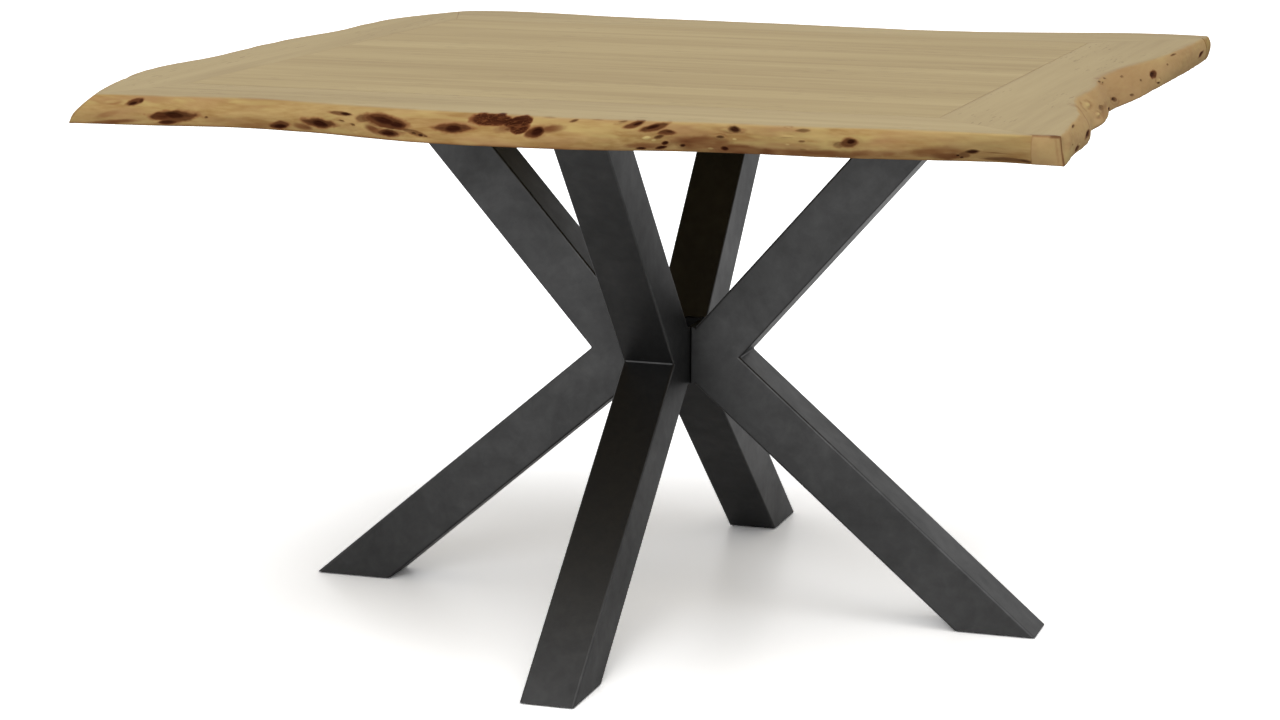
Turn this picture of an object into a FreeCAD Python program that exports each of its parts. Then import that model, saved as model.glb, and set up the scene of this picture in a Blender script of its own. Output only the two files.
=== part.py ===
import FreeCAD, Part
import math
import os
import Sketcher
from FreeCAD import Vector

# Live-edge dining table: a mitred frame of waney boards round a field of tongued boards,
# on a spider base of four mitred square-tube frames bolted to a short hub.
# Millimetres, +Z up, origin on the floor under the hub, the front edge towards -Y.

# Driving dimensions: name, value, meaning
SIZES = [
    ("table_height", 750, "floor to table surface"),
    ("top_thickness", 36, "thickness of every board of the top"),
    ("field_length", 975, "field of boards inside the frame, along X"),
    ("field_depth", 894, "field of boards inside the frame, along Y"),
    ("field_shift", -12, "middle of the field, along X from the hub"),
    ("front_board_width", 142, "seam to the mean line of the front live edge"),
    ("back_board_width", 128, "seam to the mean line of the back live edge"),
    ("left_board_width", 100, "seam to the mean line of the left live edge"),
    ("right_board_width", 150, "seam to the mean line of the right live edge"),
    ("left_mitre_angle", 21, "left mitres, degrees from the Y axis"),
    ("right_mitre_angle", 48, "right mitres, degrees from the Y axis"),
    ("edge_bulge", 6, "how far the live edges round out at half thickness"),
    ("tongue_length", 10, "tongues on the field boards"),
    ("tongue_thickness", 10, "tongues on the field boards"),
    ("groove_spare_depth", 1, "room past the end of a tongue"),
    ("joinery_clearance", 0.1, "gap on each side of a tongue or a spline"),
    ("spline_length", 70, "loose spline in each mitre, along the mitre"),
    ("spline_width", 36, "loose spline, across the mitre"),
    ("spline_thickness", 8, "loose spline"),
    ("spline_setback", 30, "inner end of a spline from the inner corner"),
    ("base_turn", 1, "turn of the whole base under the top, degrees anticlockwise from above"),
    ("tube_width", 72, "square tube of arms and legs"),
    ("tube_wall", 3, "wall of the square tube"),
    ("tube_corner", 3, "outside corner radius of the square tube"),
    ("knee_radius", 106, "outer knee of a frame, from the hub axis"),
    ("knee_height", 357, "outer knee of a frame, above the floor"),
    ("arm_reach", 419, "outer face of an arm at the underside of the top"),
    ("foot_reach", 523, "outer face of a leg at the floor"),
    ("knee_weld", 1.5, "leg of the fillet weld in the knee"),
    ("hub_width", 76, "square hub post"),
    ("hub_wall", 6, "wall of the hub post"),
    ("hub_corner", 12, "outside corner radius of the hub post"),
    ("hub_plate_thickness", 5, "end plate of each frame, against the hub"),
    ("hub_bolt_pitch", 30, "height between the two bolts of a frame"),
    ("hub_bolt_diameter", 10, "hub bolts"),
    ("hub_bolt_length", 20, "hub bolts, under the head"),
    ("hub_head_diameter", 17.5, "round heads of the hub bolts"),
    ("hub_head_height", 5.5, "round heads of the hub bolts"),
    ("hub_socket_width", 6, "hexagon sockets of the hub bolts, across corners"),
    ("hub_socket_depth", 3, "hexagon sockets of the hub bolts"),
    ("hub_nut_corners", 19.6, "weld nuts, across corners"),
    ("hub_nut_height", 8, "weld nuts"),
    ("bolt_clearance", 0.5, "radial room round the bolts in their plates"),
    ("thread_clearance", 0.1, "radial room in threads"),
    ("mount_plate_length", 120, "mounting plate, along the arm"),
    ("mount_plate_width", 150, "mounting plate, across the arm"),
    ("mount_plate_thickness", 6, "mounting plate"),
    ("mount_plate_corner", 10, "corner radius of the mounting plate"),
    ("mount_pitch_length", 90, "bolt holes, along the arm"),
    ("mount_pitch_width", 110, "bolt holes, across the arm"),
    ("top_bolt_diameter", 8, "bolts into the top"),
    ("top_bolt_length", 18, "bolts into the top, under the head"),
    ("top_head_corners", 15, "hexagon heads, across corners"),
    ("top_head_height", 5.3, "hexagon heads"),
    ("washer_diameter", 17, "washers under the heads"),
    ("washer_thickness", 1.6, "washers under the heads"),
    ("insert_diameter", 12, "threaded inserts in the boards"),
    ("insert_length", 12, "threaded inserts in the boards"),
    ("floor_gap", 2, "floor to the cut end of a leg"),
    ("sole_recess", 8, "cut end of a leg to its sole plate"),
    ("sole_thickness", 6, "sole plate inside the end of a leg"),
    ("glide_diameter", 50, "plastic pad of a levelling glide"),
    ("glide_pad_height", 5, "plastic pad of a levelling glide"),
    ("glide_pad_chamfer", 1, "lower rim of the pad"),
    ("glide_disc_diameter", 46, "steel disc of a levelling glide"),
    ("glide_disc_thickness", 4.6, "steel disc of a levelling glide"),
    ("glide_stud_diameter", 12, "threaded stud of a levelling glide"),
    ("glide_stud_length", 36, "threaded stud of a levelling glide, above its disc"),
    ("glide_clearance", 0.3, "radial room round the stud in the sole plate"),
]

FIELD_BOARDS = 8
FRAMES = {"right": 0, "back": 90, "left": 180, "front": 270}

# Positions worked out from the driving dimensions: name, formula
LAYOUT = [
    ("underside", "Sizes.table_height - Sizes.top_thickness"),
    ("plate_bottom", "underside - Sizes.mount_plate_thickness"),
    ("washer_bottom", "plate_bottom - Sizes.washer_thickness"),
    ("head_bottom", "washer_bottom - Sizes.top_head_height"),
    ("board_width", "Sizes.field_depth / %d" % FIELD_BOARDS),
    ("tongue_bottom", "underside + (Sizes.top_thickness - Sizes.tongue_thickness) / 2"),
    ("tongue_top", "tongue_bottom + Sizes.tongue_thickness"),
    ("groove_bottom", "tongue_bottom - Sizes.joinery_clearance"),
    ("groove_top", "tongue_top + Sizes.joinery_clearance"),
    ("groove_depth", "Sizes.tongue_length + Sizes.groove_spare_depth"),
    ("field_left", "Sizes.field_shift - Sizes.field_length / 2"),
    ("field_right", "Sizes.field_shift + Sizes.field_length / 2"),
    ("field_front", "-Sizes.field_depth / 2"),
    ("field_back", "Sizes.field_depth / 2"),
    ("left_mitre_run", "-sin(Sizes.left_mitre_angle)"),
    ("left_mitre_rise", "cos(Sizes.left_mitre_angle)"),
    ("right_mitre_run", "sin(Sizes.right_mitre_angle)"),
    ("right_mitre_rise", "cos(Sizes.right_mitre_angle)"),
    ("mitre_reach", "Sizes.field_length + Sizes.field_depth"),
    ("spline_middle", "underside + Sizes.top_thickness / 2"),
    ("spline_end", "Sizes.spline_setback + Sizes.spline_length"),
    ("half_tube", "Sizes.tube_width / 2"),
    ("arm_slope", "(underside - Sizes.knee_height) / (Sizes.arm_reach - Sizes.knee_radius)"),
    ("arm_cos", "1 / sqrt(1 + arm_slope * arm_slope)"),
    ("arm_sin", "arm_slope * arm_cos"),
    ("leg_slope", "Sizes.knee_height / (Sizes.foot_reach - Sizes.knee_radius)"),
    ("leg_cos", "1 / sqrt(1 + leg_slope * leg_slope)"),
    ("leg_sin", "leg_slope * leg_cos"),
    ("arm_depth", "Sizes.tube_width / arm_cos"),
    ("leg_depth", "Sizes.tube_width / leg_cos"),
    ("mitre_slope", "arm_slope - arm_depth * (arm_slope + leg_slope) / (arm_depth + leg_depth)"),
    ("frame_start", "Sizes.hub_width / 2 + Sizes.hub_plate_thickness"),
    ("knee_run", "Sizes.knee_radius - frame_start"),
    ("mitre_start", "Sizes.knee_height - knee_run * mitre_slope"),
    ("arm_start", "Sizes.knee_height - knee_run * arm_slope + arm_depth"),
    ("leg_start", "Sizes.knee_height + knee_run * leg_slope - leg_depth"),
    ("arm_top_outer", "Sizes.knee_radius + (plate_bottom - Sizes.knee_height) / arm_slope"),
    ("arm_top_inner", "arm_top_outer - Sizes.tube_width / arm_sin"),
    ("arm_length", "(underside - Sizes.knee_height) / arm_sin"),
    ("leg_end_outer", "Sizes.knee_radius + (Sizes.knee_height - Sizes.floor_gap) / leg_slope"),
    ("leg_end_inner", "leg_end_outer - Sizes.tube_width / leg_sin"),
    ("leg_length", "Sizes.knee_height / leg_sin"),
    ("mount_centre", "(arm_top_outer + arm_top_inner) / 2"),
    ("hub_middle", "(arm_start + leg_start) / 2"),
    ("hub_bore_radius", "Sizes.hub_bolt_diameter / 2 + Sizes.bolt_clearance"),
    ("hub_inner", "Sizes.hub_width / 2 - Sizes.hub_wall"),
    ("mount_hole_radius", "Sizes.top_bolt_diameter / 2 + Sizes.bolt_clearance"),
    ("sole_bottom", "Sizes.floor_gap + Sizes.sole_recess"),
    ("sole_top", "sole_bottom + Sizes.sole_thickness"),
    ("sole_low_outer", "Sizes.foot_reach - sole_bottom / leg_slope - Sizes.tube_wall / leg_sin"),
    ("sole_high_outer", "Sizes.foot_reach - sole_top / leg_slope - Sizes.tube_wall / leg_sin"),
    ("mouth_length", "(Sizes.tube_width - 2 * Sizes.tube_wall) / leg_sin"),
    ("glide_centre", "(sole_low_outer + sole_high_outer - mouth_length) / 2"),
    ("disc_top", "Sizes.glide_pad_height + Sizes.glide_disc_thickness"),
    ("stud_top", "disc_top + Sizes.glide_stud_length"),
]

# Live edges, from corner to corner anticlockwise seen from above, starting at the front left.
# Each station: share of the side, then how far the top and the bottom stand out from the mean line.
LIVE_EDGES = {
    "front": [
        (0.06, -5, 8), (0.115, -11, -2), (0.165, -25, -13), (0.215, -26, -15),
        (0.27, -18, -6), (0.33, -6, 13), (0.39, 2, 28), (0.46, 4, 33),
        (0.54, 12, 26), (0.62, 6, 4), (0.70, -5, -14), (0.78, -8, -18),
        (0.86, -24, -30), (0.93, -24, -44),
    ],
    "right": [
        (0.11, 8, 13), (0.20, -2, 8), (0.285, -27, -7), (0.33, -36, -13),
        (0.385, -36, -14), (0.45, -39, -23), (0.53, -50, -21), (0.59, -49, -15),
        (0.66, -40, -13), (0.76, -22, -10), (0.88, -11, -7),
    ],
    "back": [
        (0.06, 46, 48), (0.12, 35, 38), (0.19, 7, 13), (0.26, -17, -10),
        (0.33, -27, -19), (0.42, -23, -15), (0.52, -11, -4), (0.64, -5, 2),
        (0.74, 2, 8), (0.82, 18, 22), (0.90, 24, 28),
    ],
    "left": [
        (0.075, -22, -6), (0.14, -3, 13), (0.22, 0, 17), (0.32, 0, 17),
        (0.39, 12, 29), (0.47, 15, 32), (0.56, 14, 30), (0.64, 13, 29),
        (0.72, 22, 36), (0.78, 21, 36), (0.85, 7, 28), (0.93, -15, 14),
    ],
}

# Corners of the live edge: shift in X and Y from where the mean lines cross, top then bottom.
CORNER_SHIFTS = {
    "front_left": ((44, -3), (13, -17)),
    "front_right": ((18, 29), (21, 41)),
    "back_right": ((-5, 37), (-7, 39)),
    "back_left": ((60, 6), (40, 12)),
}

SAME = 1e-6

doc = FreeCAD.newDocument("live_edge_table")


def fill_sizes():
    """The spreadsheet of driving dimensions."""
    sheet = doc.addObject("Spreadsheet::Sheet", "Sizes")
    for row, (name, value, meaning) in enumerate(SIZES, 1):
        sheet.set("A%d" % row, meaning)
        sheet.set("B%d" % row, str(value))
        sheet.setAlias("B%d" % row, name)
    return sheet


def fill_layout():
    """The spreadsheet of derived positions, each a formula on the driving dimensions."""
    sheet = doc.addObject("Spreadsheet::Sheet", "Layout")
    for row, (name, formula) in enumerate(LAYOUT, 1):
        sheet.set("A%d" % row, name)
        sheet.set("B%d" % row, "=" + formula)
        sheet.setAlias("B%d" % row, name)
    return sheet


sizes = fill_sizes()
layout = fill_layout()
doc.recompute()
nodes = []


def size(name):
    """A driving dimension as a number."""
    return float(sizes.get(name))


def place(name):
    """A derived position as a number."""
    return float(layout.get(name))


def new_body(label):
    body = doc.addObject("PartDesign::Body", label)
    body.Label = label
    return body


def keep(part, label):
    """Names a finished sub-part and puts it on the list of nodes."""
    part.Label = label
    nodes.append(part)
    return part


def origin_feature(body, role):
    return next(f for f in body.Origin.OriginFeatures if f.Role == role)


def new_sketch(body, name, plane, height=None):
    """A sketch on one of the body's own origin planes, lifted to a height formula if one is given."""
    sketch = body.newObject("Sketcher::SketchObject", name)
    sketch.AttachmentSupport = [(origin_feature(body, plane), "")]
    sketch.MapMode = "FlatFace"
    if height is not None:
        sketch.setExpression("AttachmentOffset.Base.z", height)
    return sketch


def bind_point(sketch, geometry, point, across, up):
    """Ties one point of a sketch to a pair of formulas, measured from the sketch's origin."""
    for kind, formula in (("DistanceX", across), ("DistanceY", up)):
        number = float(sizes.evalExpression(formula))
        constraint = Sketcher.Constraint(kind, -1, 1, geometry, point, number)
        index = sketch.addConstraint(constraint)
        sketch.setExpression("Constraints[%d]" % index, formula)


def add_polygon(sketch, corners):
    """A closed outline through corners, each a pair of formulas."""
    spots = [Vector(*(float(sizes.evalExpression(f)) for f in pair), 0) for pair in corners]
    lines = []
    for here, there in zip(spots, spots[1:] + spots[:1]):
        lines.append(sketch.addGeometry(Part.LineSegment(here, there)))
    for line, following in zip(lines, lines[1:] + lines[:1]):
        sketch.addConstraint(Sketcher.Constraint("Coincident", line, 2, following, 1))
    for line, (across, up) in zip(lines, corners):
        bind_point(sketch, line, 1, across, up)


def add_circle(sketch, across, up, radius):
    """A circle whose centre and radius are formulas."""
    spot = Vector(*(float(sizes.evalExpression(f)) for f in (across, up)), 0)
    number = float(sizes.evalExpression(radius))
    circle = sketch.addGeometry(Part.Circle(spot, Vector(0, 0, 1), number))
    bind_point(sketch, circle, 3, across, up)
    index = sketch.addConstraint(Sketcher.Constraint("Radius", circle, number))
    sketch.setExpression("Constraints[%d]" % index, radius)


def add_hexagon(sketch, across, up, corner_width):
    """A hexagon about a centre, its width measured across corners."""
    corners = []
    for corner in range(6):
        turn = math.radians(60 * corner)
        shift = "%.6f * (%s) / 2"
        corners.append((
            across + " + " + shift % (math.cos(turn), corner_width),
            up + " + " + shift % (math.sin(turn), corner_width),
        ))
    add_polygon(sketch, corners)


def extrude(body, kind, sketch, length, symmetric=False, reverse=False):
    """A Pad or a Pocket of a sketch, its length bound to a formula."""
    feature = body.newObject("PartDesign::" + kind, sketch.Name + "_" + kind.lower())
    feature.Profile = sketch
    feature.SideType = "Symmetric" if symmetric else "One side"
    feature.Reversed = reverse
    feature.setExpression("Length", length)
    before = body.Shape.Volume if kind == "Pocket" else math.inf
    doc.recompute()
    if not feature.Shape.Volume < before:
        raise ValueError(body.Label + ": " + sketch.Name + " cuts nothing")
    return feature


def fillet_edges(body, base, chosen, radius):
    """Rounds the edges of a feature that a test picks."""
    names = ["Edge%d" % n for n, edge in enumerate(base.Shape.Edges, 1) if chosen(edge)]
    fillet = body.newObject("PartDesign::Fillet", "rounded_edges")
    fillet.Base = (base, names)
    fillet.setExpression("Radius", radius)
    doc.recompute()
    return fillet


def turn_about_hub(body, degrees=0):
    """Stands a piece that was drawn along +X in its own direction round the hub."""
    body.setExpression("Placement.Rotation.Angle", "Sizes.base_turn + %d" % degrees)


def repeat(body, features, steps):
    """Repeats features of a body as separate solids: steps along an axis, then round the hub."""
    pattern = body.newObject("PartDesign::MultiTransform", "pattern")
    pattern.Originals = features
    transformations = []
    for axis, pitch in steps:
        row = body.newObject("PartDesign::LinearPattern", "row_" + axis)
        row.Direction = (origin_feature(body, axis), [""])
        row.Occurrences = 2
        row.setExpression("Length", pitch)
        transformations.append(row)
    ring = body.newObject("PartDesign::PolarPattern", "ring")
    ring.Axis = (origin_feature(body, "Z_Axis"), [""])
    ring.Angle = 360
    ring.Occurrences = len(FRAMES)
    pattern.Transformations = transformations + [ring]
    body.Tip = pattern
    doc.recompute()


# Bolts into the top: where the first one stands, and how it repeats round the four plates
FIRST_BOLT = (
    "Layout.mount_centre - Sizes.mount_pitch_length / 2",
    "-Sizes.mount_pitch_width / 2",
)
TOP_BOLT_STEPS = (("X_Axis", "Sizes.mount_pitch_length"), ("Y_Axis", "Sizes.mount_pitch_width"))


def ring_group(label, bottom, height, outer, inner=None):
    """Sixteen round pieces on the bolt positions of the top, solid or with a bore."""
    body = new_body(label)
    sketch = new_sketch(body, "ring", "XY_Plane", bottom)
    add_circle(sketch, *FIRST_BOLT, outer)
    if inner:
        add_circle(sketch, *FIRST_BOLT, inner)
    repeat(body, [extrude(body, "Pad", sketch, height)], TOP_BOLT_STEPS)
    turn_about_hub(body)
    return body


# Inserts and the bores in the boards that hold them
keep(
    ring_group(
        "top_inserts", "Layout.underside", "Sizes.insert_length", "Sizes.insert_diameter / 2",
        "Sizes.top_bolt_diameter / 2 + Sizes.thread_clearance",
    ),
    "top_inserts",
)
insert_bores = ring_group(
    "insert_bores", "Layout.underside", "Sizes.insert_length", "Sizes.insert_diameter / 2"
)


def tongue_corners(edge, outwards):
    """Corners of a tongue on a board's edge, from bottom to top."""
    tip = "%s %s Sizes.tongue_length" % (edge, outwards)
    return [
        (edge, "Layout.tongue_bottom"), (tip, "Layout.tongue_bottom"),
        (tip, "Layout.tongue_top"), (edge, "Layout.tongue_top"),
    ]


def groove_corners(edge):
    """Corners of a groove in a board's front edge, from bottom to top."""
    floor = edge + " + Layout.groove_depth"
    return [
        (edge, "Layout.groove_bottom"), (floor, "Layout.groove_bottom"),
        (floor, "Layout.groove_top"), (edge, "Layout.groove_top"),
    ]


def make_field_board(number):
    """One board of the field: tongued at the back and both ends, grooved or tongued at the front."""
    label = "field_board_%d" % number
    body = new_body(label + "_blank")
    section = new_sketch(body, "section", "YZ_Plane")
    front_edge = tongue_corners("0", "-") if number == 1 else groove_corners("0")
    add_polygon(
        section,
        [("0", "Layout.underside"), ("Layout.board_width", "Layout.underside")]
        + tongue_corners("Layout.board_width", "+")
        + [("Layout.board_width", "Sizes.table_height"), ("0", "Sizes.table_height")]
        + front_edge[::-1],
    )
    extrude(body, "Pad", section, "Sizes.field_length + 2 * Sizes.tongue_length", symmetric=True)
    shoulders = new_sketch(body, "end_shoulders", "XZ_Plane")
    for side in ("-1", "1"):
        shoulder = side + " * Sizes.field_length / 2"
        end = side + " * (Sizes.field_length / 2 + 2 * Sizes.tongue_length)"
        for low, high in (
            ("Layout.underside - Sizes.tongue_length", "Layout.tongue_bottom"),
            ("Layout.tongue_top", "Sizes.table_height + Sizes.tongue_length"),
        ):
            add_polygon(shoulders, [(shoulder, low), (end, low), (end, high), (shoulder, high)])
    extrude(body, "Pocket", shoulders, "4 * Layout.board_width", symmetric=True)
    body.setExpression("Placement.Base.x", "Sizes.field_shift")
    step = "-Sizes.field_depth / 2 + %d * Layout.board_width"
    body.setExpression("Placement.Base.y", step % (number - 1))
    board = doc.addObject("Part::Cut", label)
    board.Base = body
    board.Tool = insert_bores
    return keep(board, label)


for number in range(1, FIELD_BOARDS + 1):
    make_field_board(number)
doc.recompute()

# Frame boards: corners of the top, each with its seam corner and the run of its mitre as formulas
CORNERS = {
    "front_left": ("left", "front", "-1"),
    "front_right": ("right", "front", "-1"),
    "back_right": ("right", "back", "1"),
    "back_left": ("left", "back", "1"),
}
SIDES = {
    "front": ("front_left", "front_right", Vector(0, -1, 0)),
    "right": ("front_right", "back_right", Vector(1, 0, 0)),
    "back": ("back_right", "back_left", Vector(0, 1, 0)),
    "left": ("back_left", "front_left", Vector(-1, 0, 0)),
}


def along_mitre(corner, distance, offset="0"):
    """A point beside a mitre: distance out from the seam corner, offset to the left of that way."""
    across, along, sign = CORNERS[corner]
    run = "Layout.%s_mitre_run" % across
    rise = "%s * Layout.%s_mitre_rise" % (sign, across)
    return (
        "Layout.field_%s + (%s) * %s - (%s) * %s" % (across, distance, run, offset, rise),
        "Layout.field_%s + (%s) * %s + (%s) * %s" % (along, distance, rise, offset, run),
    )


def spline_group(label, spare):
    """Flat blocks across the four mitres, larger all round by the spare room."""
    body = new_body(label)
    low = "Layout.spline_middle - Sizes.spline_thickness / 2 - (%s)" % spare
    blocks = new_sketch(body, "blocks", "XY_Plane", low)
    near = "Sizes.spline_setback - (%s)" % spare
    far = "Layout.spline_end + (%s)" % spare
    half = "(Sizes.spline_width / 2 + (%s))" % spare
    for corner in CORNERS:
        add_polygon(
            blocks,
            [
                along_mitre(corner, near, "-" + half), along_mitre(corner, far, "-" + half),
                along_mitre(corner, far, half), along_mitre(corner, near, half),
            ],
        )
    extrude(body, "Pad", blocks, "Sizes.spline_thickness + 2 * (%s)" % spare)
    return body


def make_panel_groove():
    """The block that cuts the groove for the field's tongues all round the inside of the frame."""
    body = new_body("panel_groove")
    outline = new_sketch(body, "outline", "XY_Plane", "Layout.groove_bottom")
    left, right = "Layout.field_left - Layout.groove_depth", "Layout.field_right + Layout.groove_depth"
    front, back = "Layout.field_front - Layout.groove_depth", "Layout.field_back + Layout.groove_depth"
    add_polygon(outline, [(left, front), (right, front), (right, back), (left, back)])
    extrude(body, "Pad", outline, "Layout.groove_top - Layout.groove_bottom")
    return body


def edge_corner(corner, level):
    """A corner of the live edge at a level from 0 at the underside to 1 at the top."""
    across, along, sign = CORNERS[corner]
    way = float(sign)
    mean = Vector(
        place("field_" + across) + math.copysign(size(across + "_board_width"), place("field_" + across)),
        place("field_" + along) + way * size(along + "_board_width"),
        0,
    )
    mitre = Vector(place(across + "_mitre_run"), way * place(across + "_mitre_rise"), 0)
    top, bottom = CORNER_SHIFTS[corner]
    shift = Vector(*bottom, 0) * (1 - level) + Vector(*top, 0) * level
    return mean, mean + shift + mitre * (size("edge_bulge") * 4 * level * (1 - level))


def edge_wire(level):
    """The outline of the live edge at a level: one curve through the stations of each side."""
    height = Vector(0, 0, place("underside") + level * size("top_thickness"))
    bulge = size("edge_bulge") * 4 * level * (1 - level)
    curves = []
    for side, (first, last, outwards) in SIDES.items():
        start, first_point = edge_corner(first, level)
        end, last_point = edge_corner(last, level)
        points = [first_point]
        for share, top, bottom in LIVE_EDGES[side]:
            out = bottom * (1 - level) + top * level + bulge
            points.append(start + (end - start) * share + outwards * out)
        points.append(last_point)
        curve = Part.BSplineCurve()
        curve.interpolate([point + height for point in points])
        curves.append(curve.toShape())
    return Part.Wire(curves)


def make_frame_board(side, cutters):
    """One frame board: its share of the live-edge slab, less the groove, the slots and the bores."""
    label = "frame_board_" + side
    first, last, _ = SIDES[side]
    mitred = new_body(label + "_mitred")
    outline = new_sketch(mitred, "outline", "XY_Plane", "Layout.underside - Sizes.top_thickness")
    add_polygon(
        outline,
        [
            along_mitre(first, "0"), along_mitre(last, "0"),
            along_mitre(last, "Layout.mitre_reach"), along_mitre(first, "Layout.mitre_reach"),
        ],
    )
    extrude(mitred, "Pad", outline, "3 * Sizes.top_thickness")
    board = doc.addObject("Part::Common", label + "_blank")
    board.Base = live_slab
    board.Tool = mitred
    for cutter in cutters:
        worked = doc.addObject("Part::Cut", "%s_less_%s" % (label, cutter.Label))
        worked.Base = board
        worked.Tool = cutter
        board = worked
    doc.recompute()
    return keep(board, label)


live_slab = doc.addObject("Part::Feature", "live_slab")
live_slab.Shape = Part.makeLoft([edge_wire(level) for level in (0, 0.5, 1)], True, False)
keep(spline_group("mitre_splines", "0"), "mitre_splines")
spline_slots = spline_group("spline_slots", "Sizes.joinery_clearance")
panel_groove = make_panel_groove()
for side in SIDES:
    make_frame_board(side, [panel_groove, spline_slots, insert_bores])


# Square-tube frames of the base
def along_arm(distance, offset):
    """A point beside the outer line of an arm: distance up from the knee, offset towards the hub."""
    return (
        "Sizes.knee_radius + (%s) * Layout.arm_cos - (%s) * Layout.arm_sin" % (distance, offset),
        "Sizes.knee_height + (%s) * Layout.arm_sin + (%s) * Layout.arm_cos" % (distance, offset),
    )


def along_leg(distance, offset):
    """A point beside the outer line of a leg: distance down from the knee, offset towards the hub."""
    return (
        "Sizes.knee_radius + (%s) * Layout.leg_cos - (%s) * Layout.leg_sin" % (distance, offset),
        "Sizes.knee_height - (%s) * Layout.leg_sin - (%s) * Layout.leg_cos" % (distance, offset),
    )


KNEE = ("Sizes.knee_radius", "Sizes.knee_height")
MITRE_END = ("Layout.frame_start", "Layout.mitre_start")
ARM_OUTLINE = [
    KNEE,
    ("Layout.arm_top_outer", "Layout.plate_bottom"),
    ("Layout.arm_top_inner", "Layout.plate_bottom"),
    ("Layout.frame_start", "Layout.arm_start"),
    MITRE_END,
]
LEG_OUTLINE = [
    KNEE,
    MITRE_END,
    ("Layout.frame_start", "Layout.leg_start"),
    ("Layout.leg_end_inner", "Sizes.floor_gap"),
    ("Layout.leg_end_outer", "Sizes.floor_gap"),
]


def make_tube(label, outline, along, length, direction, degrees):
    """A mitred square tube: its side view padded to the tube's width, bored lengthwise, corners rounded."""
    body = new_body(label)
    side_view = new_sketch(body, "side_view", "XZ_Plane")
    add_polygon(side_view, outline)
    extrude(body, "Pad", side_view, "Sizes.tube_width", symmetric=True)
    hollow = new_sketch(body, "hollow", "XZ_Plane")
    start, stop = "-3 * Sizes.tube_width", length + " + 3 * Sizes.tube_width"
    outer, inner = "Sizes.tube_wall", "Sizes.tube_width - Sizes.tube_wall"
    add_polygon(
        hollow,
        [along(start, outer), along(stop, outer), along(stop, inner), along(start, inner)],
    )
    bored = extrude(
        body, "Pocket", hollow, "Sizes.tube_width - 2 * Sizes.tube_wall", symmetric=True
    )

    def is_long_corner(edge):
        ends = [vertex.Point for vertex in edge.Vertexes]
        run = (ends[-1] - ends[0]).normalize()
        at_side = all(abs(abs(p.y) - place("half_tube")) < SAME for p in ends)
        return at_side and abs(run.dot(direction)) > 1 - SAME

    fillet_edges(body, bored, is_long_corner, "Sizes.tube_corner")
    turn_about_hub(body, degrees)
    return keep(body, label)


def make_hub_plate(side, degrees):
    """The end plate of a frame, with two bores for the hub bolts."""
    label = "hub_plate_" + side
    body = new_body(label)
    face = new_sketch(body, "face", "YZ_Plane", "Sizes.hub_width / 2")
    half, low, high = "Layout.half_tube", "Layout.leg_start", "Layout.arm_start"
    add_polygon(face, [("-" + half, low), (half, low), (half, high), ("-" + half, high)])
    for sign in ("-", "+"):
        height = "Layout.hub_middle %s Sizes.hub_bolt_pitch / 2" % sign
        add_circle(face, "0", height, "Layout.hub_bore_radius")
    extrude(body, "Pad", face, "Sizes.hub_plate_thickness")
    turn_about_hub(body, degrees)
    return keep(body, label)


def make_mounting_plate(side, degrees):
    """The plate welded on top of an arm, with four bolt holes into the boards."""
    label = "mounting_plate_" + side
    body = new_body(label)
    face = new_sketch(body, "face", "XY_Plane", "Layout.plate_bottom")
    near = "Layout.mount_centre - Sizes.mount_plate_length / 2"
    far = "Layout.mount_centre + Sizes.mount_plate_length / 2"
    half = "Sizes.mount_plate_width / 2"
    add_polygon(face, [(near, "-" + half), (far, "-" + half), (far, half), (near, half)])
    for along in ("-", "+"):
        for across in ("-", "+"):
            add_circle(
                face,
                "Layout.mount_centre %s Sizes.mount_pitch_length / 2" % along,
                "0 %s Sizes.mount_pitch_width / 2" % across,
                "Layout.mount_hole_radius",
            )
    plate = extrude(body, "Pad", face, "Sizes.mount_plate_thickness")

    def is_upright_corner(edge):
        ends = [vertex.Point for vertex in edge.Vertexes]
        return (
            edge.Curve.TypeId == "Part::GeomLine"
            and abs((ends[-1] - ends[0]).normalize().z) > 1 - SAME
            and all(abs(abs(p.y) - size("mount_plate_width") / 2) < SAME for p in ends)
        )

    fillet_edges(body, plate, is_upright_corner, "Sizes.mount_plate_corner")
    turn_about_hub(body, degrees)
    return keep(body, label)


def make_sole_plate(side, degrees):
    """The tapped plate that closes the end of a leg just above the floor."""
    label = "sole_plate_" + side
    body = new_body(label)
    side_view = new_sketch(body, "side_view", "XZ_Plane")
    low, high = "Layout.sole_low_outer", "Layout.sole_high_outer"
    add_polygon(
        side_view,
        [
            (low, "Layout.sole_bottom"), (high, "Layout.sole_top"),
            (high + " - Layout.mouth_length", "Layout.sole_top"),
            (low + " - Layout.mouth_length", "Layout.sole_bottom"),
        ],
    )
    extrude(body, "Pad", side_view, "Sizes.tube_width - 2 * Sizes.tube_wall", symmetric=True)
    bore = new_sketch(body, "stud_bore", "XY_Plane", "Layout.sole_bottom")
    add_circle(
        bore, "Layout.glide_centre", "0", "Sizes.glide_stud_diameter / 2 + Sizes.glide_clearance"
    )
    extrude(body, "Pocket", bore, "Sizes.sole_thickness", reverse=True)
    turn_about_hub(body, degrees)
    return keep(body, label)


def make_turned(label, profile, degrees):
    """A turned piece of a levelling glide, its half profile spun about its own upright axis."""
    body = new_body(label)
    half = new_sketch(body, "half_profile", "XZ_Plane")
    add_polygon(half, profile)
    turned = body.newObject("PartDesign::Revolution", "turned")
    turned.Profile = half
    turned.ReferenceAxis = (half, ["V_Axis"])
    turned.Angle = 360
    doc.recompute()
    body.setExpression("Placement.Base.x", "cos(Sizes.base_turn + %d) * Layout.glide_centre" % degrees)
    body.setExpression("Placement.Base.y", "sin(Sizes.base_turn + %d) * Layout.glide_centre" % degrees)
    return keep(body, label)


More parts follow.
